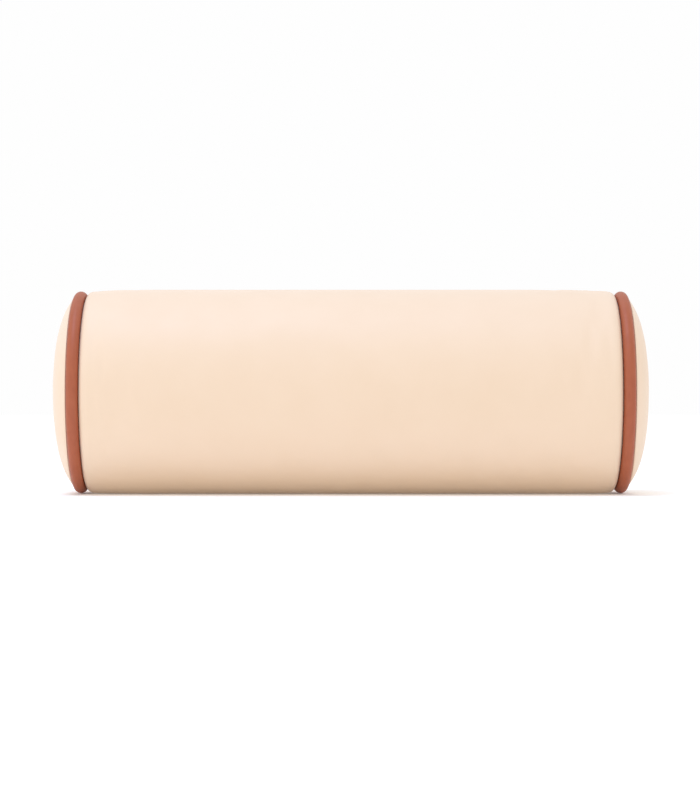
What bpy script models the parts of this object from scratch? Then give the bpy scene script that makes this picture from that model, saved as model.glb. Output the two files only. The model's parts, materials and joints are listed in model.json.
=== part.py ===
"""Round bolster pillow: a zipped cover with piped ends over a liner, wadding and a foam core.

Metres, +Z up. +X runs along the pillow, the zip is at the back (+Y), and the pillow lies on z = 0.
Every turned piece has the same number of flat sides, so nested pieces keep their clearance.
The lowest side is pressed a little wider: it is the flat that a resting pillow settles onto.
"""

import math

import bmesh
import bpy
from mathutils import Matrix, Vector

MM = 0.001

# Turned shapes
SIDES = 32
THREAD_SIDES = 16
HALF_SIDE = math.pi / SIDES  # half the angle that one flat side takes
APOTHEM = math.cos(HALF_SIDE)  # distance to a flat side, as a share of the corner radius
GAP = 0.3 * MM  # clearance between pieces that touch

# Cover
BODY_RADIUS = 114.3 * MM
SEAM_X = 301.5 * MM  # each piped seam, from the middle of the pillow
COVER_WALL = 1.2 * MM
SEAM_ALLOWANCE = 11.2 * MM  # how far the sewn edges turn in
SETTLE = 1.0 * MM  # how far the pillow's own weight presses its lowest side up
SETTLE_EASE = 0.6 * MM  # how far that side's ends, where the body eases in, stay off the floor
# How the body eases in towards a seam: (distance before the seam, drop in radius)
SHOULDER = (
    (77.5 * MM, 0.0),
    (43.5 * MM, 0.3 * MM),
    (21.5 * MM, 1.1 * MM),
    (11.8 * MM, 2.3 * MM),
)
SHOULDER_STANDOFF = 1.6 * MM  # crevice between the shoulder's edge and the piping
SHOULDER_EDGE_RISE = 3.4 * MM  # height of that edge above the middle of the piping

# Piping
CORD_RADIUS = 5.4 * MM
WRAP_WALL = 1.0 * MM
PIPING_BELOW_SKIN = 1.5 * MM  # the piping's crest lies this far below the body's surface
CORD_SIDES = 8

# End panels
DOME_HEIGHT = 31.3 * MM  # from the seam to the crown
DOME_EDGE_STANDOFF = 1.47 * MM  # gap between the panel's turned edge and the piping
DOME_EDGE_DROP = 1.6 * MM  # the turned edge lies this far below the middle of the piping
DOME_ROUND_SHARE = 0.6  # the rest of the crown's drop comes near its edge
DOME_STATIONS = (0.0, 0.3, 0.56, 0.77, 0.91, 1.0)  # shares of the edge's radius
PAD_STATIONS = (0.0, 0.3, 0.56, 0.77, 0.91)

# Seam threads
THREAD_RADIUS = 0.4 * MM
THREAD_FROM_FOLD = 6.0 * MM  # the stitch line's distance from where the edges turn in

# Filling
LINER_WALL = 0.6 * MM
LINER_MOUTH_RADIUS = 10.0 * MM  # the drawn-up hole at each end of the liner
WADDING_THICKNESS = 12.0 * MM
END_SLACK = 0.5 * MM  # between the foam's end and the liner

# Zip, with depths measured inwards from the cover's surface at the back
OPENING_FROM_SEAM = 51.5 * MM  # from each end of the opening to the piped seam
OPENING_WIDTH = 12.0 * MM
HEM_WIDTH = 13.0 * MM  # turned under on each side of the opening
HEM_PAST_OPENING = 12.0 * MM
TAPE_WALL = 0.6 * MM
TAPE_HALF_WIDTH = 16.0 * MM
TAPE_PAST_OPENING = 11.0 * MM
CHAIN_GAP = 1.4 * MM  # between the two halves, where the slider's neck runs
COIL_WIDTH = 2.3 * MM
COIL_HEIGHT = 2.0 * MM
COIL_ROUND = 0.5 * MM
STOP_LENGTH = 4.0 * MM
STOP_PROUD = 0.5 * MM  # a stop stands this far above the coil
STOP_WIDER = 0.2 * MM
CHAIN_END = 4.8 * MM  # from the end of the opening to the outer end of a stop

# Slider and pull
SLIDER_LENGTH = 11.5 * MM
SLIDER_WIDTH = 8.6 * MM
SLIDER_PLATE = 1.0 * MM
SLIDER_CHEEK = 1.0 * MM
SLIDER_ROUND = 0.3 * MM
NECK_WIDTH = 0.8 * MM
NECK_LENGTH = 2.5 * MM
SLIDER_FROM_STOP = 0.5 * MM
PULL_LENGTH = 28.0 * MM
PULL_WALL = 1.0 * MM
PULL_HEAD_WIDTH = 6.0 * MM
PULL_WAIST_WIDTH = 4.4 * MM
PULL_GRIP_WIDTH = 7.0 * MM
PULL_GRIP_LENGTH = 7.0 * MM
PULL_TAPER = 3.0 * MM  # from the head's full width to the waist
PULL_CORNER = 2.0 * MM
EYE_BAR = 1.1 * MM
EYE_SLOT_LENGTH = 3.6 * MM
EYE_SLOT_FROM_BAR = 0.05 * MM
BRIDGE_BAR = 1.0 * MM
BRIDGE_WIDTH = 2.0 * MM
BRIDGE_LENGTH = 7.0 * MM
BRIDGE_PLAY = 0.35 * MM  # above and below the pull's eye bar

# Stitching at the opening
STITCH_FROM_OPENING = 3.0 * MM
STITCH_PAST_OPENING = 6.0 * MM
BARTACK_LENGTH = 14.0 * MM
BARTACK_WIDTH = 2.0 * MM
BARTACK_HEIGHT = 0.6 * MM
BARTACK_ROUND = 0.2 * MM

# Places that follow from the sizes above
AXIS_HEIGHT = BODY_RADIUS * APOTHEM - SETTLE
OPENING_LENGTH = 2 * (SEAM_X - OPENING_FROM_SEAM)
PIPING_RADIUS = CORD_RADIUS + GAP + WRAP_WALL
RING_RADIUS = BODY_RADIUS - PIPING_BELOW_SKIN - PIPING_RADIUS
TAIL_INNER = GAP / 2  # half the slit between the wrap's two tails
TAIL_OUTER = TAIL_INNER + WRAP_WALL
FLANGE_FACE = TAIL_OUTER + GAP  # from the seam's plane to the panels' sewn edges
FLANGE_BACK = FLANGE_FACE + COVER_WALL
CLEAR_RADIUS = PIPING_RADIUS + GAP
FOLD_RADIUS = RING_RADIUS - math.sqrt(CLEAR_RADIUS**2 - FLANGE_FACE**2)
FLANGE_RADIUS = FOLD_RADIUS - SEAM_ALLOWANCE
DOME_EDGE_X = PIPING_RADIUS + DOME_EDGE_STANDOFF
DOME_EDGE_RADIUS = RING_RADIUS - DOME_EDGE_DROP
LINER_DEPTH = COVER_WALL + GAP
WADDING_DEPTH = LINER_DEPTH + LINER_WALL + GAP
CORE_RADIUS = BODY_RADIUS - WADDING_DEPTH - WADDING_THICKNESS
BACK = BODY_RADIUS * APOTHEM  # the cover's surface at the back, from the axis
TAPE_FACE = BACK - 2 * COVER_WALL - GAP
COIL_BASE = TAPE_FACE + GAP
COIL_TOP = COIL_BASE + COIL_HEIGHT
PLATE_UNDER = TAPE_FACE - TAPE_WALL - GAP - SLIDER_PLATE
PLATE_OVER = COIL_TOP + GAP
PLATE_TOP = PLATE_OVER + SLIDER_PLATE
HINGE_Y = PLATE_TOP + BRIDGE_PLAY + EYE_BAR / 2
LINER_LIMIT = PLATE_UNDER - GAP
STOP_END = OPENING_LENGTH / 2 - CHAIN_END
COIL_END = STOP_END - STOP_LENGTH - GAP
SLIDER_REST = STOP_END - STOP_LENGTH - SLIDER_FROM_STOP - SLIDER_LENGTH / 2

for leftover in list(bpy.data.objects):
    bpy.data.objects.remove(leftover, do_unlink=True)


def new_collection(name):
    collection = bpy.data.collections.new(name)
    bpy.context.scene.collection.children.link(collection)
    return collection


PIECES = new_collection("bolster_pillow")
CUTTERS = new_collection("cutters")


def new_material(name, color, roughness, metallic=0.0):
    """A plain Principled material; the colour is linear RGB."""
    material = bpy.data.materials.new(name)
    material.use_nodes = True
    shader = material.node_tree.nodes["Principled BSDF"]
    shader.inputs["Base Color"].default_value = (*color, 1.0)
    shader.inputs["Roughness"].default_value = roughness
    shader.inputs["Metallic"].default_value = metallic
    return material


FINISHES = {
    "cover": new_material("cover_pale_peach", (0.86, 0.69, 0.55), 0.6),
    "piping": new_material("piping_terracotta", (0.42, 0.14, 0.08), 0.5),
    "cord": new_material("cotton_cord", (0.80, 0.75, 0.65), 0.9),
    "thread": new_material("sewing_thread", (0.78, 0.64, 0.52), 0.7),
    "tape": new_material("zip_tape", (0.74, 0.60, 0.49), 0.8),
    "coil": new_material("zip_coil", (0.72, 0.58, 0.47), 0.4),
    "metal": new_material("zip_metal", (0.35, 0.27, 0.20), 0.35, 1.0),
    "liner": new_material("liner_knit", (0.85, 0.85, 0.82), 0.9),
    "wadding": new_material("wadding", (0.88, 0.88, 0.88), 0.95),
    "foam": new_material("foam", (0.80, 0.72, 0.45), 0.9),
}

axis = bpy.data.objects.new("bolster_axis", None)
axis.location = (0.0, 0.0, AXIS_HEIGHT)
PIECES.objects.link(axis)


def add_object(name, mesh, finish, location=(0.0, 0.0, 0.0)):
    """A named piece on the pillow's axis; location is measured from the axis."""
    part = bpy.data.objects.new(name, mesh)
    part.parent = axis
    part.location = location
    mesh.materials.append(FINISHES[finish])
    PIECES.objects.link(part)
    return part


def as_cutter(part):
    """Hides a helper that only joins or cuts another object."""
    PIECES.objects.unlink(part)
    CUTTERS.objects.link(part)
    part.hide_render = True
    part.display_type = "WIRE"
    return part


def boolean(part, other, operation):
    step = part.modifiers.new(other.name, "BOOLEAN")
    step.operation = operation
    step.object = as_cutter(other)


def copy_to_left(part):
    """The same piece at the other end: a half turn about Z."""
    copy = part.copy()
    copy.name = part.name.replace("right", "left")
    copy.rotation_euler.z = math.pi
    PIECES.objects.link(copy)
    return copy


def anticlockwise(outline):
    """Whether an outline of (x, radius) points, closed by a straight line, runs anticlockwise."""
    loop = zip(outline, outline[1:] + outline[:1])
    return sum(x0 * r1 - x1 * r0 for (x0, r0), (x1, r1) in loop) > 0.0


def turned(name, outline, finish, closed=True, wall=0.0, sides=SIDES):
    """Sweeps an outline of (x, radius) points once round the axis; a wall thickens it inwards."""
    start = Matrix.Rotation(math.pi / sides, 3, "X")
    points = [start @ Vector((x, 0.0, -radius)) for x, radius in outline]
    last = len(points) - 1
    edges = [(index, index + 1) for index in range(last)]
    if closed:
        edges.append((last, 0))
    mesh = bpy.data.meshes.new(name)
    mesh.from_pydata(points, edges, [])
    part = add_object(name, mesh, finish)
    screw = part.modifiers.new("turn", "SCREW")
    screw.axis = "X"
    screw.angle = 2 * math.pi
    screw.steps = screw.render_steps = sides
    screw.use_merge_vertices = True
    screw.merge_threshold = 0.00001
    screw.use_normal_flip = not anticlockwise(outline)
    if wall:
        shell = part.modifiers.new("wall", "SOLIDIFY")
        shell.thickness = wall
        shell.offset = -1.0
        shell.use_even_offset = True
    return part


def mirrored(half):
    """An outline for both ends, from the points of the right end."""
    return [(-x, radius) for x, radius in reversed(half)] + list(half)


def ring_point(degrees, radius):
    """A point about the middle of the right-hand piping; 0 degrees points away from the pillow."""
    angle = math.radians(degrees)
    return (SEAM_X + radius * math.cos(angle), RING_RADIUS + radius * math.sin(angle))


def shoulder():
    """The body's outline from where it starts to ease in to its edge beside the piping."""
    points = [(SEAM_X - before, BODY_RADIUS - drop) for before, drop in SHOULDER]
    edge_x = SEAM_X - PIPING_RADIUS - SHOULDER_STANDOFF
    return points + [(edge_x, RING_RADIUS + SHOULDER_EDGE_RISE)]


def body_end():
    """The shoulder, carried on round the piping's inner side to where the edge turns in."""
    return shoulder() + [ring_point(180, CLEAR_RADIUS), ring_point(225, CLEAR_RADIUS)]


def shoulder_radius(x):
    """The body's outer radius at a distance x from the middle."""
    points = shoulder()
    x = min(max(abs(x), points[0][0]), points[-1][0])
    for (x0, r0), (x1, r1) in zip(points, points[1:]):
        if x <= x1:
            break
    return r0 + (r1 - r0) * (x - x0) / (x1 - x0)


def inset(outline, depth):
    """The outline moved inwards by a depth, with mitred corners."""
    points = [Vector(point) for point in outline]
    normals = [(b - a).normalized().orthogonal() for a, b in zip(points, points[1:])]
    moved = []
    for point, before, after in zip(points, normals[:1] + normals, normals + normals[-1:]):
        across = (before + after).normalized()
        moved.append(tuple(point - across * depth / across.dot(after)))
    return moved


def box(name, low, high, finish, location=(0.0, 0.0, 0.0), rounding=0.0):
    """A box between two corners, with its edges rounded if asked."""
    low, high = Vector(low), Vector(high)
    mesh = bpy.data.meshes.new(name)
    form = bmesh.new()
    place = Matrix.Translation((low + high) / 2) @ Matrix.Diagonal((*(high - low), 1.0))
    bmesh.ops.create_cube(form, size=1.0, matrix=place)
    form.to_mesh(mesh)
    form.free()
    part = add_object(name, mesh, finish, location)
    if rounding:
        edge = part.modifiers.new("edge", "BEVEL")
        edge.width = rounding
        edge.segments = 1
    return part


def back_strip(name, face, z_low, z_high, half_length, wall, finish):
    """A strip along the back that follows the turned sides; face is how far out it lies."""
    corner = face * math.tan(HALF_SIDE)
    bends = [z for z in (-corner, corner) if z_low < z < z_high]

    def height(z):
        return face - max(0.0, abs(z) - corner) * math.tan(2 * HALF_SIDE)

    form = bmesh.new()
    line = [form.verts.new((-half_length, height(z), z)) for z in (z_low, *bends, z_high)]
    edges = [form.edges.new(pair) for pair in zip(line, line[1:])]
    swept = bmesh.ops.extrude_edge_only(form, edges=edges)["geom"]
    moved = [item for item in swept if isinstance(item, bmesh.types.BMVert)]
    bmesh.ops.translate(form, vec=(2 * half_length, 0.0, 0.0), verts=moved)
    for face_made in form.faces:
        face_made.normal_update()
        if face_made.normal.y < 0:
            face_made.normal_flip()
    mesh = bpy.data.meshes.new(name)
    form.to_mesh(mesh)
    form.free()
    part = add_object(name, mesh, finish)
    shell = part.modifiers.new("wall", "SOLIDIFY")
    shell.thickness = wall
    shell.offset = -1.0
    shell.use_even_offset = True
    return part


def bake(part):
    """Replaces a piece's modifiers by the mesh that they make."""
    graph = bpy.context.evaluated_depsgraph_get()
    mesh = bpy.data.meshes.new_from_object(part.evaluated_get(graph))
    part.modifiers.clear()
    part.data = mesh


def depth_share(radius, skin):
    """How much of the skin's movement a layer takes: all at the skin, none at the foam core."""
    return min(1.0, max(0.0, (radius - CORE_RADIUS) / (skin - CORE_RADIUS)))


def press_back(part):
    """Presses a baked inner layer flat behind the zip, where the slider runs."""
    for vertex in part.data.vertices:
        x, y, z = vertex.co
        radius = math.hypot(y, z)
        skin = shoulder_radius(x) - LINER_DEPTH
        if y <= 0.0 or skin <= CORE_RADIUS:
            continue
        vertex.co.y -= depth_share(radius, skin) * max(0.0, skin * y / radius - LINER_LIMIT)


def press_floor(part):
    """Presses a baked layer's lowest side up, which also widens it along the next sides."""
    for vertex in part.data.vertices:
        x, y, z = vertex.co
        skin = shoulder_radius(x)
        lowest = z < 0.0 and abs(y) < abs(z) * math.tan(1.5 * HALF_SIDE)
        rise = skin * APOTHEM - AXIS_HEIGHT
        if abs(x) > shoulder()[0][0] + GAP:
            rise += SETTLE_EASE
        if not lowest or rise <= 0.0:
            continue
        rise *= depth_share(math.hypot(y, z), skin)
        vertex.co.z += rise
        vertex.co.y += math.copysign(rise / math.tan(2 * HALF_SIDE), y)


def dome_x(share, depth=0.0):
    """Where the end panel lies at a share of its edge's radius, or a depth below its surface."""
    drop = DOME_HEIGHT - DOME_EDGE_X
    rise = 1 - DOME_ROUND_SHARE * share**2 - (1 - DOME_ROUND_SHARE) * share**6
    slope = 2 * DOME_ROUND_SHARE * share + 6 * (1 - DOME_ROUND_SHARE) * share**5
    tilt = math.hypot(1.0, slope * drop / DOME_EDGE_RADIUS)
    return SEAM_X + DOME_EDGE_X + drop * rise - depth * tilt


def make_cover():
    """The rolled body panel with its hem and opening, and the two domed end panels."""
    end = body_end()
    end += [(SEAM_X - FLANGE_FACE, FOLD_RADIUS), (SEAM_X - FLANGE_FACE, FLANGE_RADIUS)]
    body = turned("cover_body", mirrored(end), "cover", closed=False, wall=COVER_WALL)
    bake(body)
    press_floor(body)

    hem_reach = OPENING_WIDTH / 2 + HEM_WIDTH
    hem = back_strip(
        "hem", BACK - COVER_WALL / 2, -hem_reach, hem_reach,
        OPENING_LENGTH / 2 + HEM_PAST_OPENING, 1.5 * COVER_WALL, "cover",
    )
    boolean(body, hem, "UNION")
    slot = box(
        "opening",
        (-OPENING_LENGTH / 2, BACK - 10 * COVER_WALL, -OPENING_WIDTH / 2),
        (OPENING_LENGTH / 2, BACK + 10 * COVER_WALL, OPENING_WIDTH / 2),
        "cover",
    )
    boolean(body, slot, "DIFFERENCE")

    panel = [(dome_x(share), share * DOME_EDGE_RADIUS) for share in DOME_STATIONS]
    panel += [ring_point(-45, CLEAR_RADIUS)]
    panel += [(SEAM_X + FLANGE_FACE, FOLD_RADIUS), (SEAM_X + FLANGE_FACE, FLANGE_RADIUS)]
    right = turned("right_end_panel", panel, "cover", closed=False, wall=COVER_WALL)
    copy_to_left(right)


def make_piping():
    """A cord in a wrapped strip, whose two tails run in between the panels' sewn edges."""
    step = 360 // CORD_SIDES
    cord = [ring_point(degrees, CORD_RADIUS) for degrees in range(0, 360, step)]
    copy_to_left(turned("right_piping_cord", cord, "cord"))

    inner = CORD_RADIUS + GAP
    tail_top = RING_RADIUS - math.sqrt(PIPING_RADIUS**2 - TAIL_OUTER**2)
    slit_top = RING_RADIUS - math.sqrt(inner**2 - TAIL_INNER**2)
    around = range(225, -46, -step)
    wrap = [(SEAM_X - TAIL_OUTER, FLANGE_RADIUS), (SEAM_X - TAIL_OUTER, tail_top)]
    wrap += [ring_point(degrees, PIPING_RADIUS) for degrees in around]
    wrap += [(SEAM_X + TAIL_OUTER, tail_top), (SEAM_X + TAIL_OUTER, FLANGE_RADIUS)]
    wrap += [(SEAM_X + TAIL_INNER, FLANGE_RADIUS), (SEAM_X + TAIL_INNER, slit_top)]
    wrap += [ring_point(degrees, inner) for degrees in reversed(around)]
    wrap += [(SEAM_X - TAIL_INNER, slit_top), (SEAM_X - TAIL_INNER, FLANGE_RADIUS)]
    copy_to_left(turned("right_piping_cover", wrap, "piping"))


def make_seam_threads():
    """The stitch line on the two faces of each end seam."""
    offset = FLANGE_BACK + GAP + THREAD_RADIUS
    stitch_radius = FOLD_RADIUS - THREAD_FROM_FOLD
    for name, side in (("needle", 1), ("bobbin", -1)):
        middle = SEAM_X + side * offset
        outline = [
            (middle + THREAD_RADIUS * across, stitch_radius + THREAD_RADIUS * up)
            for across, up in ((1, 0), (0, 1), (-1, 0), (0, -1))
        ]
        copy_to_left(turned(f"right_{name}_thread", outline, "thread", sides=THREAD_SIDES))


def make_filling():
    """Foam core, wadding, knitted liner, and a fibre pad in the dome of each end."""
    soft_layers = []
    liner_end = SEAM_X - FLANGE_BACK - 2 * GAP - 2 * THREAD_RADIUS
    liner = inset(body_end(), LINER_DEPTH)
    liner += [(liner_end, FOLD_RADIUS - LINER_DEPTH), (liner_end, LINER_MOUTH_RADIUS)]
    soft_layers.append(turned("liner", mirrored(liner), "liner", closed=False, wall=LINER_WALL))

    wadding = inset(body_end(), WADDING_DEPTH)[:-1]
    wadding.append((wadding[-1][0], CORE_RADIUS))
    soft_layers.append(turned("wadding_wrap", mirrored(wadding), "wadding"))
    for layer in soft_layers:
        bake(layer)
        press_back(layer)
        press_floor(layer)

    foam_radius = CORE_RADIUS - GAP
    foam_end = liner_end - LINER_WALL - END_SLACK
    end_radius = FOLD_RADIUS - LINER_DEPTH - LINER_WALL - END_SLACK
    chamfer = foam_radius - end_radius
    core = [(foam_end - chamfer, foam_radius), (foam_end, end_radius)]
    core.append((foam_end, 0.0))
    turned("foam_core", mirrored(core), "foam", closed=False)

    thread_face = SEAM_X + FLANGE_BACK + 2 * GAP + 2 * THREAD_RADIUS
    stem = FLANGE_RADIUS - COVER_WALL
    pad = [
        (dome_x(share, COVER_WALL + GAP), share * DOME_EDGE_RADIUS) for share in PAD_STATIONS
    ]
    pad += [(thread_face, pad[-1][1]), (thread_face, stem)]
    pad += [(liner_end + GAP, stem), (liner_end + GAP, 0.0)]
    copy_to_left(turned("right_crown_pad", pad, "wadding", closed=False))


def make_zip():
    """Tapes, coils, stops and the stitching that holds the zip in the opening."""
    half_gap = CHAIN_GAP / 2
    for name, side in (("upper", 1), ("lower", -1)):
        edges = sorted((side * half_gap, side * TAPE_HALF_WIDTH))
        tape_half = OPENING_LENGTH / 2 + TAPE_PAST_OPENING
        back_strip(f"zip_tape_{name}", TAPE_FACE, *edges, tape_half, TAPE_WALL, "tape")

        rows = sorted((side * half_gap, side * (half_gap + COIL_WIDTH)))
        box(
            f"zip_coil_{name}", (-COIL_END, COIL_BASE, rows[0]), (COIL_END, COIL_TOP, rows[1]),
            "coil", rounding=COIL_ROUND,
        )
        rows = sorted((side * half_gap, side * (half_gap + COIL_WIDTH + STOP_WIDER)))
        box(
            f"zip_top_stop_{name}",
            (STOP_END - STOP_LENGTH, COIL_BASE, rows[0]),
            (STOP_END, COIL_TOP + STOP_PROUD, rows[1]),
            "metal", rounding=SLIDER_ROUND,
        )
        height = side * (OPENING_WIDTH / 2 + STITCH_FROM_OPENING)
        add_topstitch(f"topstitch_{name}", height)

    reach = half_gap + COIL_WIDTH + STOP_WIDER
    box(
        "zip_bottom_stop", (-STOP_END, COIL_BASE, -reach),
        (-STOP_END + STOP_LENGTH, COIL_TOP + STOP_PROUD, reach), "metal", rounding=SLIDER_ROUND,
    )
    tack_from = OPENING_LENGTH / 2 + GAP
    for name, side in (("right", 1), ("left", -1)):
        ends = sorted((side * tack_from, side * (tack_from + BARTACK_WIDTH)))
        box(
            f"bartack_{name}", (ends[0], BACK + GAP, -BARTACK_LENGTH / 2),
            (ends[1], BACK + GAP + BARTACK_HEIGHT, BARTACK_LENGTH / 2),
            "thread", rounding=BARTACK_ROUND,
        )


def add_topstitch(name, height):
    """One straight line of thread along the opening, as a curve with round section."""
    curve = bpy.data.curves.new(name, "CURVE")
    curve.dimensions = "3D"
    curve.bevel_depth = THREAD_RADIUS
    curve.bevel_resolution = 1
    curve.use_fill_caps = True
    line = curve.splines.new("POLY")
    line.points.add(1)
    reach = OPENING_LENGTH / 2 + STITCH_PAST_OPENING
    for point, x in zip(line.points, (-reach, reach)):
        point.co = (x, BACK + GAP + THREAD_RADIUS, height, 1.0)
    add_object(name, curve, "thread")


def make_slider():
    """The slider: two plates joined by a neck, cheeks beside the coils, and the pull's bridge."""
    half_length = SLIDER_LENGTH / 2
    half_width = SLIDER_WIDTH / 2
    place = (SLIDER_REST, 0.0, 0.0)
    overlap = SLIDER_PLATE / 2
    slider = box(
        "zip_slider", (-half_length, PLATE_OVER, -half_width),
        (half_length, PLATE_TOP, half_width), "metal", place, SLIDER_ROUND,
    )
    for name, side in (("upper", 1), ("lower", -1)):
        cheek = sorted((side * half_width, side * (half_width - SLIDER_CHEEK)))
        boolean(slider, box(
            f"cheek_{name}", (-half_length + overlap, COIL_BASE + GAP, cheek[0]),
            (half_length - overlap, PLATE_OVER + overlap, cheek[1]), "metal", place,
        ), "UNION")
    neck_end = half_length - overlap
    boolean(slider, box(
        "neck", (neck_end - NECK_LENGTH, PLATE_UNDER + overlap, -NECK_WIDTH / 2),
        (neck_end, PLATE_OVER + overlap, NECK_WIDTH / 2), "metal", place,
    ), "UNION")
    boolean(slider, box(
        "under_plate", (-half_length, PLATE_UNDER, -half_width + GAP),
        (half_length, PLATE_UNDER + SLIDER_PLATE, half_width - GAP), "metal", place, SLIDER_ROUND,
    ), "UNION")
    bridge_under = HINGE_Y + EYE_BAR / 2 + BRIDGE_PLAY
    boolean(slider, box(
        "bridge", (-BRIDGE_LENGTH / 2, PLATE_TOP - overlap, -BRIDGE_WIDTH / 2),
        (BRIDGE_LENGTH / 2, bridge_under + BRIDGE_BAR, BRIDGE_WIDTH / 2),
        "metal", place, SLIDER_ROUND,
    ), "UNION")
    boolean(slider, box(
        "bridge_eye", (-BRIDGE_LENGTH / 2 + BRIDGE_BAR, PLATE_TOP, -BRIDGE_WIDTH),
        (BRIDGE_LENGTH / 2 - BRIDGE_BAR, bridge_under, BRIDGE_WIDTH), "metal", place,
    ), "DIFFERENCE")
    return slider


def make_pull():
    """The pull tab, flat against the chain, with its origin on the eye bar's axis."""
    slot_from = EYE_BAR / 2 + EYE_SLOT_FROM_BAR
    slot_to = slot_from + EYE_SLOT_LENGTH
    slot_half = BRIDGE_WIDTH / 2 + GAP
    head = PULL_HEAD_WIDTH / 2
    waist = PULL_WAIST_WIDTH / 2
    grip = PULL_GRIP_WIDTH / 2
    side = [
        (EYE_BAR / 2, head - GAP), (0.0, head), (-slot_to, head), (-slot_to - PULL_TAPER, waist),
        (-PULL_LENGTH + PULL_GRIP_LENGTH, grip), (-PULL_LENGTH + PULL_CORNER, grip),
        (-PULL_LENGTH, grip - PULL_CORNER),
    ]
    outline = side + [(x, -half) for x, half in reversed(side)]
    eye = [
        (-slot_from, slot_half), (-slot_to, slot_half),
        (-slot_to, -slot_half), (-slot_from, -slot_half),
    ]
    curve = bpy.data.curves.new("zip_pull", "CURVE")
    curve.dimensions = "2D"
    curve.fill_mode = "BOTH"
    curve.extrude = PULL_WALL / 2
    for points in (outline, eye):
        loop = curve.splines.new("POLY")
        loop.points.add(len(points) - 1)
        for point, (x, z) in zip(loop.points, points):
            point.co = (x, z, 0.0, 1.0)
        loop.use_cyclic_u = True
    pull = add_object("zip_pull", curve, "metal", (SLIDER_REST, HINGE_Y, 0.0))
    pull.rotation_euler.x = math.pi / 2
    return pull


make_cover()
make_piping()
make_seam_threads()
make_filling()
make_zip()
make_slider()
make_pull()
for piece in PIECES.objects:
    if piece.type == "MESH":
        piece.data.shade_smooth()
        piece.data.set_sharp_from_angle(angle=math.radians(30))
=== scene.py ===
"""Looks of the round bolster pillow: zipped cover, piped ends, zip hardware, filling and studio.

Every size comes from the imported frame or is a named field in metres. The pillow's axis runs
along X, the zip is on the +Y side, and the pillow lies on z = 0.
"""

from __future__ import annotations

import json  # noqa: E402
import logging  # noqa: E402
import math  # noqa: E402
from dataclasses import dataclass, field  # noqa: E402
from enum import Enum  # noqa: E402
from typing import Any, Sequence  # noqa: E402

import bmesh  # noqa: E402
import bpy  # noqa: E402
import numpy as np  # noqa: E402
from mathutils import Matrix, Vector, noise  # noqa: E402

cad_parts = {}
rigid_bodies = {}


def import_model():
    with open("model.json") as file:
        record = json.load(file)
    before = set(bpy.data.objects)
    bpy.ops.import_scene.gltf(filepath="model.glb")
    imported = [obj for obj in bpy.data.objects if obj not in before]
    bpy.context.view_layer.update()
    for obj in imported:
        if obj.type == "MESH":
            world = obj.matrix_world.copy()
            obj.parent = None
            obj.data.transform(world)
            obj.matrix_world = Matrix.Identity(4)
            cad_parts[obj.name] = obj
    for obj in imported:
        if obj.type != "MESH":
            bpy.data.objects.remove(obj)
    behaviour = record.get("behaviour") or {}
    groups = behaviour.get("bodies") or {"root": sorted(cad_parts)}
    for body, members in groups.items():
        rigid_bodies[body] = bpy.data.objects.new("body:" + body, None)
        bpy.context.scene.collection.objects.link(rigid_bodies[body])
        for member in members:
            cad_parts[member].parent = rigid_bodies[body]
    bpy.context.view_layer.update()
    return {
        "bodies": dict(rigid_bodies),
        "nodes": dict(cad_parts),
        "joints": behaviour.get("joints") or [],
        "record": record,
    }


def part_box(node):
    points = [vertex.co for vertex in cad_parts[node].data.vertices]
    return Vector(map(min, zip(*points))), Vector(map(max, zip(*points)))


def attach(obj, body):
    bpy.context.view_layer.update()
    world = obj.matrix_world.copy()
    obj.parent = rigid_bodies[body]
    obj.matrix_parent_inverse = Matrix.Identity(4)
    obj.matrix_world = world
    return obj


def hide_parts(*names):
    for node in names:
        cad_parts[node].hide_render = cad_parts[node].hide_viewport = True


LOG = logging.getLogger("bolster")
MM = 0.001
ALONG = Vector((1, 0, 0))  # the pillow's axis
ACROSS = Vector((0, 1, 0))  # out through the zip
UP = Vector((0, 0, 1))
Outline = list[tuple[float, float]]
Form = tuple[np.ndarray, Sequence[Sequence[int]]]  # vertices, and vertex indices of each face
Tree = bpy.types.NodeTree
Socket = bpy.types.NodeSocket


class Body(Enum):
    """The CAD bodies that pieces ride on."""

    PILLOW = "pillow"
    SLIDER = "slider"
    PULL = "pull"


class Slot(Enum):
    """The record's material slots."""

    COVER = "cover"
    PIPING = "piping"
    CORD = "cord"
    THREAD = "thread"
    TAPE = "tape"
    COIL = "coil"
    METAL = "metal"
    LINER = "liner"
    WADDING = "wadding"
    FOAM = "foam"


class End(Enum):
    """The pillow's two ends; the value is the sign of x."""

    LEFT = -1
    RIGHT = 1

    @property
    def label(self) -> str:
        """The end's name as the CAD nodes spell it."""
        return self.name.lower()


class Half(Enum):
    """The zip's two halves; the value is the sign of the height above the axis."""

    UPPER = 1
    LOWER = -1

    @property
    def label(self) -> str:
        """The half's name as the CAD nodes spell it."""
        return self.name.lower()


# ---------------------------------------------------------------- sizes from the frame


@dataclass(frozen=True)
class Gauge:
    """Where a CAD node lies about the pillow's axis, in metres."""

    x_low: float
    x_high: float
    r_low: float
    r_high: float

    @classmethod
    def of(cls, node: bpy.types.Object, axis_height: float) -> Gauge:
        """Measures a node.

        Args:
            node: the CAD node's object.
            axis_height: the height of the pillow's axis above the floor.

        Returns:
            The node's reach along the axis and away from it.
        """
        points = np.array([vertex.co for vertex in node.data.vertices])
        radii = np.hypot(points[:, 1], points[:, 2] - axis_height)
        return cls(points[:, 0].min(), points[:, 0].max(), radii.min(), radii.max())


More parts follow.
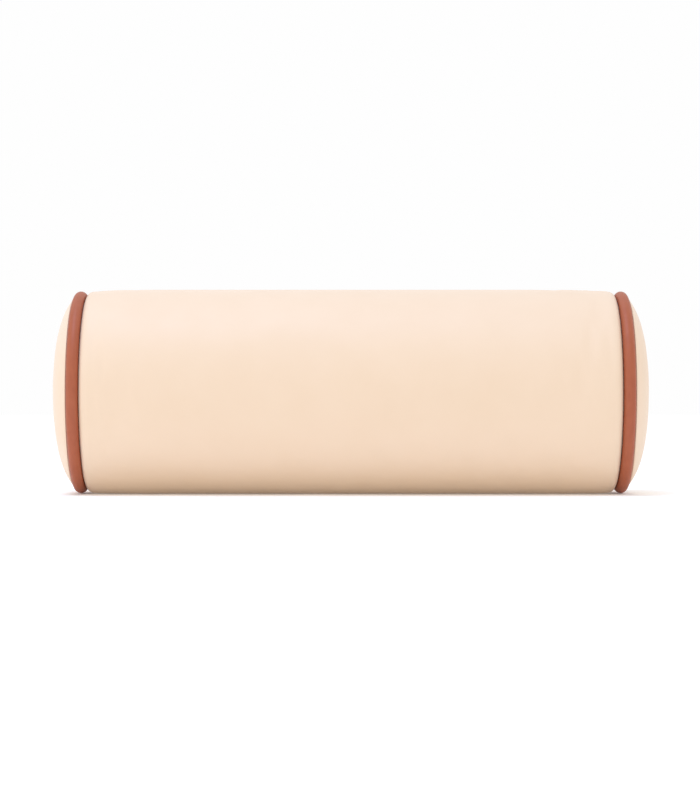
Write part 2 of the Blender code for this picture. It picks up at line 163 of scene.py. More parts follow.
@dataclass(frozen=True)
class Layout:
    """The pillow's main sizes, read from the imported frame."""

    axis_height: float
    body_radius: float
    seam_x: float
    cord_radius: float
    piping_radius: float
    ring_radius: float
    flange_radius: float
    dome_x: float
    dome_edge_radius: float
    gap: float = 0.3 * MM
    cover_wall: float = 1.2 * MM
    wrap_wall: float = 1.0 * MM
    crown_settle: float = 1.8 * MM  # how much lower the stuffed crowns sit

    @classmethod
    def from_frame(cls, nodes: dict[str, bpy.types.Object]) -> Layout:
        """Reads the sizes that the looks follow.

        Args:
            nodes: the CAD nodes by name.

        Returns:
            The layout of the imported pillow.
        """
        low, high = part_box("right_piping_cord")  # round all the way, unlike the cover
        height = (low.z + high.z) / 2
        body = Gauge.of(nodes["cover_body"], height)
        cord = Gauge.of(nodes["right_piping_cord"], height)
        wrap = Gauge.of(nodes["right_piping_cover"], height)
        panel = Gauge.of(nodes["right_end_panel"], height)
        cord_radius = (cord.x_high - cord.x_low) / 2
        return cls(
            axis_height=height,
            body_radius=body.r_high,
            seam_x=(cord.x_high + cord.x_low) / 2,
            cord_radius=cord_radius,
            piping_radius=(wrap.x_high - wrap.x_low) / 2,
            ring_radius=cord.r_high - cord_radius,
            flange_radius=wrap.r_low,
            dome_x=panel.x_high - cls.crown_settle,
            dome_edge_radius=panel.r_high,
        )

    def ring_point(self, degrees: float, radius: float) -> tuple[float, float]:
        """A point (x, radius) about the middle of the right-hand piping.

        Args:
            degrees: direction from the cord's middle; 0 points away from the pillow.
            radius: distance from the cord's middle.

        Returns:
            The point's place along the axis and its distance from it.
        """
        angle = math.radians(degrees)
        return (
            self.seam_x + radius * math.cos(angle),
            self.ring_radius + radius * math.sin(angle),
        )


# ---------------------------------------------------------------- materials


def linear(code: str) -> tuple[float, float, float, float]:
    """Turns an sRGB hex colour to linear RGBA.

    Args:
        code: six hex digits after a hash.

    Returns:
        The linear colour with full alpha.
    """
    channels = (int(code[index : index + 2], 16) / 255 for index in (1, 3, 5))
    red, green, blue = (c / 12.92 if c <= 0.04045 else ((c + 0.055) / 1.055) ** 2.4 for c in channels)
    return (red, green, blue, 1.0)


def add_node(
    tree: Tree, kind: str, inputs: dict[Any, Any] | None = None, **settings: Any
) -> bpy.types.Node:
    """Adds a node with its settings, values and links.

    Args:
        tree: the material's node tree.
        kind: the node type after "ShaderNode".
        inputs: socket name or index to a value, or to a socket that it is linked from.
        settings: properties of the node itself.

    Returns:
        The new node.
    """
    made = tree.nodes.new("ShaderNode" + kind)
    for key, value in settings.items():
        setattr(made, key, value)
    for key, value in (inputs or {}).items():
        if isinstance(value, Socket):
            tree.links.new(value, made.inputs[key])
        else:
            made.inputs[key].default_value = value
    return made


@dataclass(frozen=True)
class Finish:
    """What every finish shares: a common name, two tones and how its surface answers light."""

    name: str
    tone: str
    tone_deep: str
    roughness: float
    roughness_spread: float = 0.05
    metallic: float = 0.0
    specular: float = 0.5
    sheen: float = 0.0
    sheen_roughness: float = 0.5
    mottle: float = 30 * MM
    bump_height: float = 0.05 * MM

    def make(self) -> bpy.types.Material:
        """Builds the node material.

        Returns:
            The finished material.
        """
        material = bpy.data.materials.new(self.name)
        material.use_nodes = True
        tree = material.node_tree
        shader = tree.nodes["Principled BSDF"]
        place = add_node(tree, "TexCoord").outputs["Object"]
        cloud = add_node(tree, "TexNoise", {"Vector": place, "Scale": 1 / self.mottle, "Detail": 4.0})
        share = self.tone_share(tree, place, cloud.outputs["Fac"])
        tones = add_node(tree, "Mix", {"Factor": share}, data_type="RGBA")
        tones.inputs["A"].default_value = linear(self.tone)
        tones.inputs["B"].default_value = linear(self.tone_deep)
        tree.links.new(tones.outputs["Result"], shader.inputs["Base Color"])
        spread = add_node(
            tree,
            "MapRange",
            {
                "Value": cloud.outputs["Fac"],
                "To Min": self.roughness - self.roughness_spread,
                "To Max": self.roughness + self.roughness_spread,
            },
        )
        tree.links.new(spread.outputs["Result"], shader.inputs["Roughness"])
        shader.inputs["Metallic"].default_value = self.metallic
        shader.inputs["Specular IOR Level"].default_value = self.specular
        shader.inputs["Sheen Weight"].default_value = self.sheen
        shader.inputs["Sheen Roughness"].default_value = self.sheen_roughness
        height = self.relief(tree, place)
        bump = add_node(
            tree, "Bump", {"Height": height, "Distance": self.bump_height, "Strength": 1.0}
        )
        tree.links.new(bump.outputs["Normal"], shader.inputs["Normal"])
        return material

    def tone_share(self, tree: Tree, place: Socket, cloud: Socket) -> Socket:
        """How far the colour goes from the light tone to the deep one."""
        return cloud

    def relief(self, tree: Tree, place: Socket) -> Socket:
        """The surface's height pattern, from 0 to 1."""
        grit = add_node(tree, "TexNoise", {"Vector": place, "Scale": 1 / MM, "Detail": 3.0})
        return grit.outputs["Fac"]


@dataclass(frozen=True)
class CoatedMicrofibre(Finish):
    """Microfibre with a matte polyurethane coat, embossed with a fine pebble grain."""

    # The real pebble is about 0.8 mm across; it is drawn at 1.8 mm so that it shows.
    pebble: float = 1.8 * MM
    creases: float = 14 * MM
    crease_share: float = 4.0  # height of the wider unevenness against the pebbles

    def relief(self, tree: Tree, place: Socket) -> Socket:
        """Rounded pebbles over a faint, wider unevenness from the fibre base.

        Args:
            tree: the material's node tree.
            place: the object coordinates.

        Returns:
            The surface's height pattern.
        """
        pebbles = add_node(
            tree, "TexVoronoi", {"Vector": place, "Scale": 1 / self.pebble}, feature="SMOOTH_F1"
        ).outputs["Distance"]
        base = add_node(
            tree, "TexNoise", {"Vector": place, "Scale": 1 / self.creases, "Detail": 5.0}
        ).outputs["Fac"]
        tall = add_node(tree, "Math", {0: base, 1: self.crease_share}, operation="MULTIPLY").outputs[0]
        return add_node(tree, "Math", {0: pebbles, 1: tall}, operation="ADD").outputs[0]


@dataclass(frozen=True)
class SplitHideStrip(Finish):
    """Dyed coated hide cut on the bias and pulled round a cord, which draws its grain out along it."""

    axis_height: float = 0.0
    grain: float = 1.4 * MM
    stretch: float = 3.0

    def strip(self, tree: Tree, place: Socket) -> Socket:
        """Coordinates that follow the strip round the pillow.

        Args:
            tree: the material's node tree.
            place: the object coordinates.

        Returns:
            Distances along the strip, out from the axis, and across it.
        """
        apart = add_node(tree, "SeparateXYZ", {"Vector": place})
        up = add_node(
            tree, "Math", {0: apart.outputs["Z"], 1: self.axis_height}, operation="SUBTRACT"
        ).outputs[0]
        angle = add_node(
            tree, "Math", {0: up, 1: apart.outputs["Y"]}, operation="ARCTAN2"
        ).outputs[0]
        flat = add_node(tree, "CombineXYZ", {"X": apart.outputs["Y"], "Y": up}).outputs[0]
        out = add_node(tree, "VectorMath", {0: flat}, operation="LENGTH").outputs["Value"]
        along = add_node(tree, "Math", {0: angle, 1: out}, operation="MULTIPLY").outputs[0]
        drawn = add_node(tree, "Math", {0: along, 1: self.stretch}, operation="DIVIDE").outputs[0]
        return add_node(tree, "CombineXYZ", {"X": drawn, "Y": out, "Z": apart.outputs["X"]}).outputs[0]

    def tone_share(self, tree: Tree, place: Socket, cloud: Socket) -> Socket:
        """Dye streaks along the strip mixed with the clouding.

        Args:
            tree: the material's node tree.
            place: the object coordinates.
            cloud: the clouding.

        Returns:
            The share of the deep tone.
        """
        strip = self.strip(tree, place)
        streaks = add_node(
            tree, "TexNoise", {"Vector": strip, "Scale": 0.25 / self.grain, "Detail": 6.0}
        ).outputs["Fac"]
        return add_node(tree, "Mix", {"Factor": 0.5, "A": cloud, "B": streaks}).outputs["Result"]

    def relief(self, tree: Tree, place: Socket) -> Socket:
        """Hide grain drawn out along the strip.

        Args:
            tree: the material's node tree.
            place: the object coordinates.

        Returns:
            The surface's height pattern.
        """
        strip = self.strip(tree, place)
        cells = add_node(
            tree, "TexVoronoi", {"Vector": strip, "Scale": 1 / self.grain}, feature="SMOOTH_F1"
        ).outputs["Distance"]
        fine = add_node(
            tree, "TexNoise", {"Vector": place, "Scale": 2 / self.grain, "Detail": 4.0}
        ).outputs["Fac"]
        return add_node(tree, "Math", {0: cells, 1: fine}, operation="ADD").outputs[0]


@dataclass(frozen=True)
class TwillTape(Finish):
    """Polyester zip tape in a herringbone twill."""

    rib: float = 0.9 * MM  # real ribs are 0.5 mm apart; drawn wider so that they show
    chevron: float = 2.4 * MM

    def relief(self, tree: Tree, place: Socket) -> Socket:
        """Slanting ribs that turn back at each chevron.

        Args:
            tree: the material's node tree.
            place: the object coordinates.

        Returns:
            The surface's height pattern.
        """
        apart = add_node(tree, "SeparateXYZ", {"Vector": place})
        fold = add_node(
            tree, "Math", {0: apart.outputs["Z"], 1: self.chevron}, operation="PINGPONG"
        ).outputs[0]
        slant = add_node(tree, "Math", {0: apart.outputs["X"], 1: fold}, operation="ADD").outputs[0]
        turns = add_node(
            tree, "Math", {0: slant, 1: 2 * math.pi / self.rib}, operation="MULTIPLY"
        ).outputs[0]
        return add_node(tree, "Math", {0: turns}, operation="SINE").outputs[0]


@dataclass(frozen=True)
class SpunThread(Finish):
    """Bonded polyester thread: plied, so its surface has fine slanting turns."""

    ply: float = 0.7 * MM

    def relief(self, tree: Tree, place: Socket) -> Socket:
        """Turns of the ply along the seam."""
        waves = add_node(
            tree, "TexWave", {"Vector": place, "Scale": 0.3 / self.ply, "Distortion": 1.0},
            bands_direction="DIAGONAL",
        )
        return waves.outputs["Fac"]


@dataclass(frozen=True)
class CastMetal(Finish):
    """Cast zinc plated in antique brass: dark in the hollows, rubbed lighter in patches."""

    def relief(self, tree: Tree, place: Socket) -> Socket:
        """The faint orange peel of a tumbled casting."""
        peel = add_node(tree, "TexNoise", {"Vector": place, "Scale": 1.2 / MM, "Detail": 2.0})
        return peel.outputs["Fac"]


@dataclass(frozen=True)
class RibKnit(Finish):
    """Cotton stockinette: rows of small stitches round the pillow, ribs along it."""

    stitch: float = 2.5 * MM

    def relief(self, tree: Tree, place: Socket) -> Socket:
        """Stitch rows across the axis."""
        rows = add_node(
            tree, "TexWave", {"Vector": place, "Scale": 0.31 / self.stitch, "Distortion": 2.0},
            bands_direction="X",
        )
        return rows.outputs["Fac"]


@dataclass(frozen=True)
class OpenCells(Finish):
    """Cut polyether foam or carded fibre: a pitted, open surface."""

    cell: float = 1.5 * MM

    def relief(self, tree: Tree, place: Socket) -> Socket:
        """Pits of the cut cells or fibre tufts."""
        return add_node(
            tree, "TexVoronoi", {"Vector": place, "Scale": 1 / self.cell}, feature="F1"
        ).outputs["Distance"]


@dataclass
class FinishBook:
    """Every finish of the pillow, made once each."""

    axis_height: float
    made: dict[Slot, bpy.types.Material] = field(default_factory=dict)

    def finishes(self) -> dict[Slot, Finish]:
        """The finish of each material slot.

        Returns:
            Slot to finish.
        """
        return {
            # matte coat: a soft broad highlight, barely tinted shadows
            Slot.COVER: CoatedMicrofibre(
                "coated_microfibre_pale_peach", "#ebd0b3", "#e7cbac", 0.55,
                sheen=0.15, bump_height=0.03 * MM, mottle=45 * MM,
            ),
            # coated hide: a tighter highlight than the cover and visible dye streaks
            Slot.PIPING: SplitHideStrip(
                "coated_hide_terracotta", "#b2613f", "#994c2f", 0.52, specular=0.35,
                bump_height=0.06 * MM, mottle=12 * MM, axis_height=self.axis_height,
            ),
            # dry cotton: no highlight, and its twist shows as slanting ridges
            Slot.CORD: SpunThread("twisted_cotton_cord", "#e6dcc8", "#d6c9ae", 0.9, ply=3 * MM),
            # bonded thread: slightly waxy, with a small soft highlight along each stitch
            Slot.THREAD: SpunThread("bonded_polyester_thread", "#dcc0a4", "#cfae8f", 0.55),
            # woven and heat-set: matte, with fine ribs that turn back in a herringbone
            Slot.TAPE: TwillTape(
                "herringbone_zip_tape", "#d9bfa6", "#cbae92", 0.8, sheen=0.2, bump_height=0.12 * MM
            ),
            # drawn nylon: smooth, with a clear line of light on each turn
            Slot.COIL: Finish("extruded_nylon_coil", "#cdb196", "#bf9f82", 0.35),
            # plated and rubbed back: dark hollows, half-gloss high spots
            Slot.METAL: CastMetal(
                "antique_brass_plated_zinc", "#a1845a", "#6d5436", 0.34,
                roughness_spread=0.1, metallic=1.0, mottle=3 * MM, bump_height=0.02 * MM,
            ),
            # knitted cotton: soft and chalky, in rows of stitches
            Slot.LINER: RibKnit("cotton_stockinette", "#efece4", "#e2ded2", 0.9, bump_height=0.3 * MM),
            # carded fibre: loose and white, with no highlight
            Slot.WADDING: OpenCells(
                "carded_polyester_wadding", "#f3f3f1", "#e6e6e2", 0.95,
                cell=3 * MM, sheen=0.4, bump_height=0.8 * MM,
            ),
            # cut foam: yellowish, pitted and dull
            Slot.FOAM: OpenCells(
                "cut_polyether_foam", "#ecdca6", "#ddc98a", 0.95, bump_height=0.5 * MM
            ),
        }

    def make(self) -> None:
        """Builds all the materials."""
        for slot, finish in self.finishes().items():
            self.made[slot] = finish.make()


# ---------------------------------------------------------------- mesh helpers


def linked(name: str, data: bpy.types.ID) -> bpy.types.Object:
    """Makes an object of some data and links it to the scene.

    Args:
        name: the object's name.
        data: its mesh, curve, light or camera.

    Returns:
        The linked object.
    """
    made = bpy.data.objects.new(name, data)
    bpy.context.scene.collection.objects.link(made)
    return made


def baked(piece: bpy.types.Object) -> bpy.types.Mesh:
    """A new mesh of an object as its modifiers leave it."""
    graph = bpy.context.evaluated_depsgraph_get()
    return bpy.data.meshes.new_from_object(piece.evaluated_get(graph))


@dataclass
class Workbench:
    """Makes objects, dresses them and puts them on their CAD bodies."""

    finishes: FinishBook
    nodes: dict[str, bpy.types.Object]
    axis_height: float

    def gauge(self, node: str) -> Gauge:
        """Where a CAD node lies about the pillow's axis."""
        return Gauge.of(self.nodes[node], self.axis_height)

    def turned(
        self, name: str, outline: Outline, columns: int, closed: bool = False
    ) -> bpy.types.Object:
        """Turns an outline once round the pillow's axis.

        Args:
            name: the piece's name.
            outline: its (x, radius) points.
            columns: how many points it has round the axis.
            closed: whether the outline's last point joins its first.

        Returns:
            The linked object, facing outwards.
        """
        points = turned_points(outline, ring_angles(columns), self.axis_height)
        piece = self.mesh(name, points.reshape(-1, 3), sheet_faces(len(outline), columns, closed))
        self.weld(piece)
        face_outwards(piece)
        return piece

    def weld(self, piece: bpy.types.Object) -> None:
        """Joins points that lie in one place, such as those on the axis.

        Args:
            piece: the piece whose points are joined.
        """
        form = bmesh.new()
        form.from_mesh(piece.data)
        bmesh.ops.remove_doubles(form, verts=form.verts, dist=0.001 * MM)
        form.to_mesh(piece.data)
        form.free()

    def thicken(self, piece: bpy.types.Object, thickness: float) -> None:
        """Gives a sheet its wall, inwards, and applies it.

        Args:
            piece: the sheet.
            thickness: its wall.
        """
        wall = piece.modifiers.new("wall", "SOLIDIFY")
        wall.thickness = thickness
        wall.offset = -1.0
        data = baked(piece)
        piece.modifiers.clear()
        piece.data = data

    def extruded(
        self, outline: Outline, frame: tuple[Vector, Vector, Vector], thickness: float, bevel: float
    ) -> Form:
        """A plate of a given outline with rounded edges.

        Args:
            outline: points in the plate's own two directions.
            frame: the directions of the outline's two coordinates, and the plate's lower middle.
            thickness: how thick it is, along the cross of the two directions.
            bevel: how far its edges are rounded.

        Returns:
            Its vertices and faces.
        """
        first, second, origin = frame
        form = bmesh.new()
        ring = [form.verts.new(origin + first * a + second * b) for a, b in outline]
        base = form.faces.new(ring)
        grown = bmesh.ops.extrude_face_region(form, geom=[base])["geom"]
        risen = [item for item in grown if isinstance(item, bmesh.types.BMVert)]
        bmesh.ops.translate(form, verts=risen, vec=first.cross(second) * thickness)
        bmesh.ops.recalc_face_normals(form, faces=form.faces)
        edges = [*form.edges]
        bmesh.ops.bevel(form, geom=edges, offset=bevel, segments=2, affect="EDGES", profile=0.5)
        form.verts.index_update()
        points = np.array([vertex.co for vertex in form.verts])
        faces = [tuple(vertex.index for vertex in face.verts) for face in form.faces]
        form.free()
        return points, faces

    def mesh(self, name: str, points: np.ndarray, faces: Sequence[Sequence[int]]) -> bpy.types.Object:
        """Makes a smooth-shaded mesh object.

        Args:
            name: the piece's name.
            points: its vertices, in metres.
            faces: vertex indices of each face.

        Returns:
            The linked object.
        """
        data = bpy.data.meshes.new(name)
        loops = [tuple(map(int, face)) for face in faces]
        data.from_pydata(np.asarray(points, float).tolist(), [], loops)
        data.validate()
        data.shade_smooth()
        return linked(name, data)

    def place(
        self, piece: bpy.types.Object, body: Body, slot: Slot, replaces: Sequence[str] = ()
    ) -> bpy.types.Object:
        """Dresses a piece, rides it on its body and hides the CAD nodes that it stands for.

        Args:
            piece: the finished object.
            body: the CAD body that it moves with.
            slot: the material slot of its finish.
            replaces: the CAD nodes that it stands for.

        Returns:
            The same object.
        """
        piece.data.materials.clear()
        piece.data.materials.append(self.finishes.made[slot])
        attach(piece, body.value)
        if replaces:
            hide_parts(*replaces)
        LOG.info("%-22s on %-7s %6d vertices", piece.name, body.value, len(piece.data.vertices))
        return piece


def sheet_faces(rows: int, columns: int, closed_rows: bool = False) -> np.ndarray:
    """Faces of a grid whose columns close into a ring.

    Args:
        rows: number of rows.
        columns: points in each row.
        closed_rows: whether the last row joins the first.

    Returns:
        One row of four vertex indices for each face.
    """
    upper_rows = np.arange(rows if closed_rows else rows - 1)
    row, column = np.meshgrid(upper_rows, np.arange(columns), indexing="ij")
    below, beside = (row + 1) % rows, (column + 1) % columns
    corners = [(row, column), (row, beside), (below, beside), (below, column)]
    return np.stack([(line * columns + point).ravel() for line, point in corners], axis=1)


def smooth_outline(points: Outline, step: float) -> Outline:
    """A smooth line through points, by Catmull-Rom, with points about a step apart.

    Args:
        points: the outline's own points.
        step: the spacing wanted.

    Returns:
        The denser outline, through the same points.
    """
    knots = [Vector(point) for point in points]
    padded = [2 * knots[0] - knots[1], *knots, 2 * knots[-1] - knots[-2]]
    line: Outline = []
    for before, start, stop, after in zip(padded, padded[1:], padded[2:], padded[3:]):
        count = max(1, round((stop - start).length / step))
        for index in range(count):
            t = index / count
            curve = 2 * start + (stop - before) * t
            curve += (2 * before - 5 * start + 4 * stop - after) * t**2
            curve += (3 * start - before - 3 * stop + after) * t**3
            line.append(tuple(curve / 2))
    line.append(tuple(knots[-1]))
    return line


def mirrored(half: Outline) -> Outline:
    """An outline for both ends, from the right end's points, middle first."""
    return [(-x, radius) for x, radius in reversed(half)] + list(half)


def turned_points(outline: Outline, angles: np.ndarray, height: float) -> np.ndarray:
    """Points of an outline swept round the pillow's axis.

    Args:
        outline: (x, radius) points.
        angles: angle of each column from +Y, towards +Z.
        height: the axis's height.

    Returns:
        An array of rows, columns and coordinates.
    """
    x, radius = (np.array(values)[:, None] for values in zip(*outline))
    return np.stack(
        [x + 0 * angles, radius * np.cos(angles), height + radius * np.sin(angles)], axis=-1
    )


def ring_angles(count: int) -> np.ndarray:
    """Equal angles once round."""
    return np.arange(count) * 2 * math.pi / count


def tube_points(
    path: np.ndarray, radius: float | np.ndarray, sides: int, up: Sequence[float]
) -> np.ndarray:
    """Points of a round tube along a path.

    Args:
        path: the centre line's points.
        radius: the tube's radius, or one for each station.
        sides: points round it.
        up: a direction that never runs along the path.

    Returns:
        An array of stations, sides and coordinates.
    """
    along = np.gradient(path, axis=0)
    along /= np.linalg.norm(along, axis=1, keepdims=True)
    side = np.cross(along, np.array(up, float))
    side /= np.linalg.norm(side, axis=1, keepdims=True)
    over = np.cross(side, along)
    angles = ring_angles(sides)
    radius = np.broadcast_to(radius, len(path))[:, None, None]
    return path[:, None] + radius * (
        side[:, None] * np.cos(angles)[None, :, None] + over[:, None] * np.sin(angles)[None, :, None]
    )


def capped_tube(points: np.ndarray) -> Form:
    """A tube with flat ends.

    Args:
        points: its points, as stations, sides and coordinates.

    Returns:
        Its vertices and faces.
    """
    stations, sides = points.shape[:2]
    faces = [tuple(face) for face in sheet_faces(stations, sides)]
    faces.append(tuple(range(sides)))
    faces.append(tuple(reversed(range((stations - 1) * sides, stations * sides))))
    return points.reshape(-1, 3), faces


def gather(parts: Sequence[Form]) -> Form:
    """Joins several forms into one.

    Args:
        parts: the forms.

    Returns:
        The vertices and faces of them all.
    """
    points: list[np.ndarray] = []
    faces: list[tuple[int, ...]] = []
    start = 0
    for vertices, loops in parts:
        points.append(vertices)
        faces += [tuple(start + index for index in loop) for loop in loops]
        start += len(vertices)
    return np.concatenate(points), faces


def stitch(
    start: Sequence[float], stop: Sequence[float], up: Sequence[float], radius: float, lift: float
) -> Form:
    """One stitch: a short thread that rises from its holes and thins into them.

    Args:
        start: one hole.
        stop: the other hole.
        up: the direction away from the fabric.
        radius: the thread's radius.
        lift: how far its middle stands above its ends.

    Returns:
        Its vertices and faces.
    """
    share = np.linspace(0, 1, 6)
    start, stop, up = (np.array(value, float) for value in (start, stop, up))
    path = start + (stop - start) * share[:, None] + up * (lift * np.sin(math.pi * share))[:, None]
    thinned = radius * (0.6 + 0.4 * np.sin(math.pi * share) ** 0.5)
    across = np.cross(stop - start, up)
    return capped_tube(tube_points(path, thinned, 6, np.cross(across, stop - start)))


def swept(section: Outline, places: np.ndarray) -> Form:
    """A bar of one closed section along the pillow, with flat ends.

    Args:
        section: its (y, z) points.
        places: the x of each station.

    Returns:
        Its vertices and faces.
    """
    loop = np.array(section)
    points = np.zeros((len(places), len(loop), 3))
    points[..., 0] = np.asarray(places)[:, None]
    points[..., 1:] = loop
    return capped_tube(points)


def smoothstep(value: np.ndarray, low: float, high: float) -> np.ndarray:
    """A soft step from 0 at low to 1 at high."""
    share = np.clip((value - low) / (high - low), 0, 1)
    return share * share * (3 - 2 * share)


def waves(angles: np.ndarray, seed: int, turns: Sequence[int]) -> np.ndarray:
    """Seeded unevenness round a ring, about -1 to 1.

    Args:
        angles: where to read it.
        seed: the random seed.
        turns: how many times each part of it repeats round the ring.

    Returns:
        The unevenness at each angle.
    """
    chance = np.random.default_rng(seed)
    total = np.zeros(len(angles))
    for count in turns:
        height = chance.uniform(0.5, 1)
        total = total + height * np.sin(count * angles + chance.uniform(0, 2 * math.pi))
    return total / len(turns)


def face_outwards(piece: bpy.types.Object) -> None:
    """Turns a closed mesh the right way out.

    Args:
        piece: the piece with the mesh.
    """
    data = piece.data
    data.calc_loop_triangles()
    points = np.array([vertex.co for vertex in data.vertices])
    faces = np.array([triangle.vertices for triangle in data.loop_triangles])
    middle = points.mean(axis=0)
    if np.linalg.det(points[faces] - middle).sum() < 0:
        data.flip_normals()


# ---------------------------------------------------------------- the cover


@dataclass
class CoverSimulation:
    """Cloth simulation of the stuffed cover, kept as small offsets from its sewn shape.

    The whole skin is inflated with its seams, its zip and its resting strip held. What each
    point moves beyond the mean of its row, capped and smoothed, is the unevenness that the
    fabric takes up.
    """

    layout: Layout
    body_outline: Outline
    dome_outline: Outline
    columns: int = 96
    frames: int = 20
    pressure: float = 4.0
    slack: float = -0.012
    zip_band: float = 12 * MM
    floor_band: float = 14 * MM
    seam_band: float = 3 * MM
    start_noise: float = 0.05 * MM
    cap: float = 0.45 * MM
    smoothing: int = 3
    seed: int = 26
    offsets: np.ndarray | None = None
    first_body_row: int = 0
    dome_rows: int = 0

    @property
    def body_rows(self) -> slice:
        """The skin's rows that are the body panel."""
        return slice(self.first_body_row, self.first_body_row + len(self.body_outline))

    def build(self) -> tuple[bpy.types.Object, np.ndarray]:
        """The closed skin as one mesh.

        Returns:
            The object and its points as rows, columns and coordinates.
        """
        dome = self.dome_outline[1:]
        left = [(-x, radius) for x, radius in dome]
        right = list(reversed(dome))
        rows = left + self.body_outline + right
        self.dome_rows = len(dome)
        self.first_body_row = len(left)
        angles = ring_angles(self.columns)
        points = turned_points(rows, angles, self.layout.axis_height)
        chance = np.random.default_rng(self.seed)
        points += chance.normal(0, self.start_noise, points.shape)
        faces = [tuple(face) for face in sheet_faces(len(rows), self.columns)]
        flat = points.reshape(-1, 3)
        for pole, row in ((-1, 0), (1, len(rows) - 1)):
            middle = len(flat)
            flat = np.vstack([flat, [pole * self.layout.dome_x, 0, self.layout.axis_height]])
            ring = [row * self.columns + column for column in range(self.columns)]
            beside = ring[1:] + ring[:1]
            faces += [(a, b, middle)[::pole] for a, b in zip(ring, beside)]
        data = bpy.data.meshes.new("skin_under_test")
        data.from_pydata(flat.tolist(), [], faces)
        return linked("skin_under_test", data), points

    def held(self, points: np.ndarray) -> np.ndarray:
        """Which points the seams, the zip and the floor hold still.

        Args:
            points: the skin's grid of points.

        Returns:
            True for each held point of the grid.
        """
        x = points[..., 0]
        y = points[..., 1]
        z = points[..., 2] - self.layout.axis_height
        radius = np.hypot(y, z)
        seam = np.abs(np.abs(x) - self.layout.seam_x) < 2 * self.layout.piping_radius
        seam &= radius > self.layout.dome_edge_radius - self.seam_band
        by_zip = (y > 0) & (np.abs(z) < self.zip_band) & (np.abs(x) < self.layout.seam_x)
        on_floor = (z < 0) & (np.abs(y) < self.floor_band) & (np.abs(x) < self.layout.seam_x)
        return seam | by_zip | on_floor

    def run(self) -> None:
        """Runs the simulation and keeps its offsets."""
        skin, points = self.build()
        group = skin.vertex_groups.new(name="held")
        held = np.flatnonzero(self.held(points).ravel()).tolist()
        group.add(held, 1.0, "REPLACE")
        cloth = skin.modifiers.new("stuffed", "CLOTH")
        settings = cloth.settings
        settings.quality = 5
        settings.mass = 0.4
        settings.tension_stiffness = settings.compression_stiffness = 60
        settings.shear_stiffness = 30
        settings.bending_stiffness = 1.5
        settings.use_pressure = True
        settings.uniform_pressure_force = self.pressure
        settings.shrink_min = self.slack
        settings.effector_weights.gravity = 0
        settings.vertex_group_mass = group.name
        cloth.collision_settings.use_collision = False
        cloth.point_cache.frame_end = self.frames
        scene = bpy.context.scene
        for frame in range(1, self.frames + 1):
            scene.frame_set(frame)
        skin_after = skin.evaluated_get(bpy.context.evaluated_depsgraph_get()).to_mesh()
        moved = np.array([vertex.co for vertex in skin_after.vertices])[: points[..., 0].size]
        moved = moved.reshape(points.shape)
        scene.frame_set(1)
        bpy.data.objects.remove(skin)
        height = self.layout.axis_height
        start_radius = np.hypot(points[..., 1], points[..., 2] - height)
        outward = np.hypot(moved[..., 1], moved[..., 2] - height) - start_radius
        along = (moved[..., 0] - points[..., 0]) * np.sign(points[..., 0])
        on_body = np.zeros(len(points), bool)
        on_body[self.body_rows] = True
        travel = np.where(on_body[:, None], outward, along)
        travel -= travel.mean(axis=1, keepdims=True)
        LOG.info("cloth: unevenness up to %.2f mm before the cap", 1000 * np.abs(travel).max())
        offsets = self.cap * np.tanh(travel / self.cap)
        for _ in range(self.smoothing):
            around = (np.roll(offsets, 1, axis=1) + np.roll(offsets, -1, axis=1)) / 2
            offsets = (offsets + around) / 2
            offsets[1:-1] = (2 * offsets[1:-1] + offsets[:-2] + offsets[2:]) / 4
        self.offsets = offsets

    def read(
        self, rows: np.ndarray, places: np.ndarray, wanted: np.ndarray, angles: np.ndarray
    ) -> np.ndarray:
        """Reads offsets at any place by interpolation.

        Args:
            rows: offsets of some rows of the skin.
            places: where those rows lie, rising.
            wanted: the places asked for.
            angles: the angles asked for.

        Returns:
            Offsets for each place and angle.
        """
        own = ring_angles(self.columns)
        around = np.stack([np.interp(angles, own, row, period=2 * math.pi) for row in rows])
        return np.stack([np.interp(wanted, places, column) for column in around.T], axis=1)

    def body_offset(self, x: np.ndarray, angles: np.ndarray) -> np.ndarray:
        """Reads the body panel's offsets.

        Args:
            x: places along the axis.
            angles: angles round it.

        Returns:
            Offsets for each place and angle, all zero before a run.
        """
        if self.offsets is None:
            return np.zeros((len(x), len(angles)))
        places = np.array([point[0] for point in self.body_outline])
        order = np.argsort(places)
        return self.read(self.offsets[self.body_rows][order], places[order], x, angles)

    def dome_offset(self, end: End, radii: np.ndarray, angles: np.ndarray) -> np.ndarray:
        """Reads an end panel's offsets.

        Args:
            end: which end of the pillow.
            radii: distances from the axis.
            angles: angles round it.

        Returns:
            Offsets for each distance and angle, all zero before a run.
        """
        if self.offsets is None:
            return np.zeros((len(radii), len(angles)))
        count = self.dome_rows
        rows = self.offsets[:count] if end is End.LEFT else self.offsets[::-1][:count]
        places = np.array([point[1] for point in self.dome_outline[1:]])
        order = np.argsort(places)
        return self.read(rows[order], places[order], radii, angles)


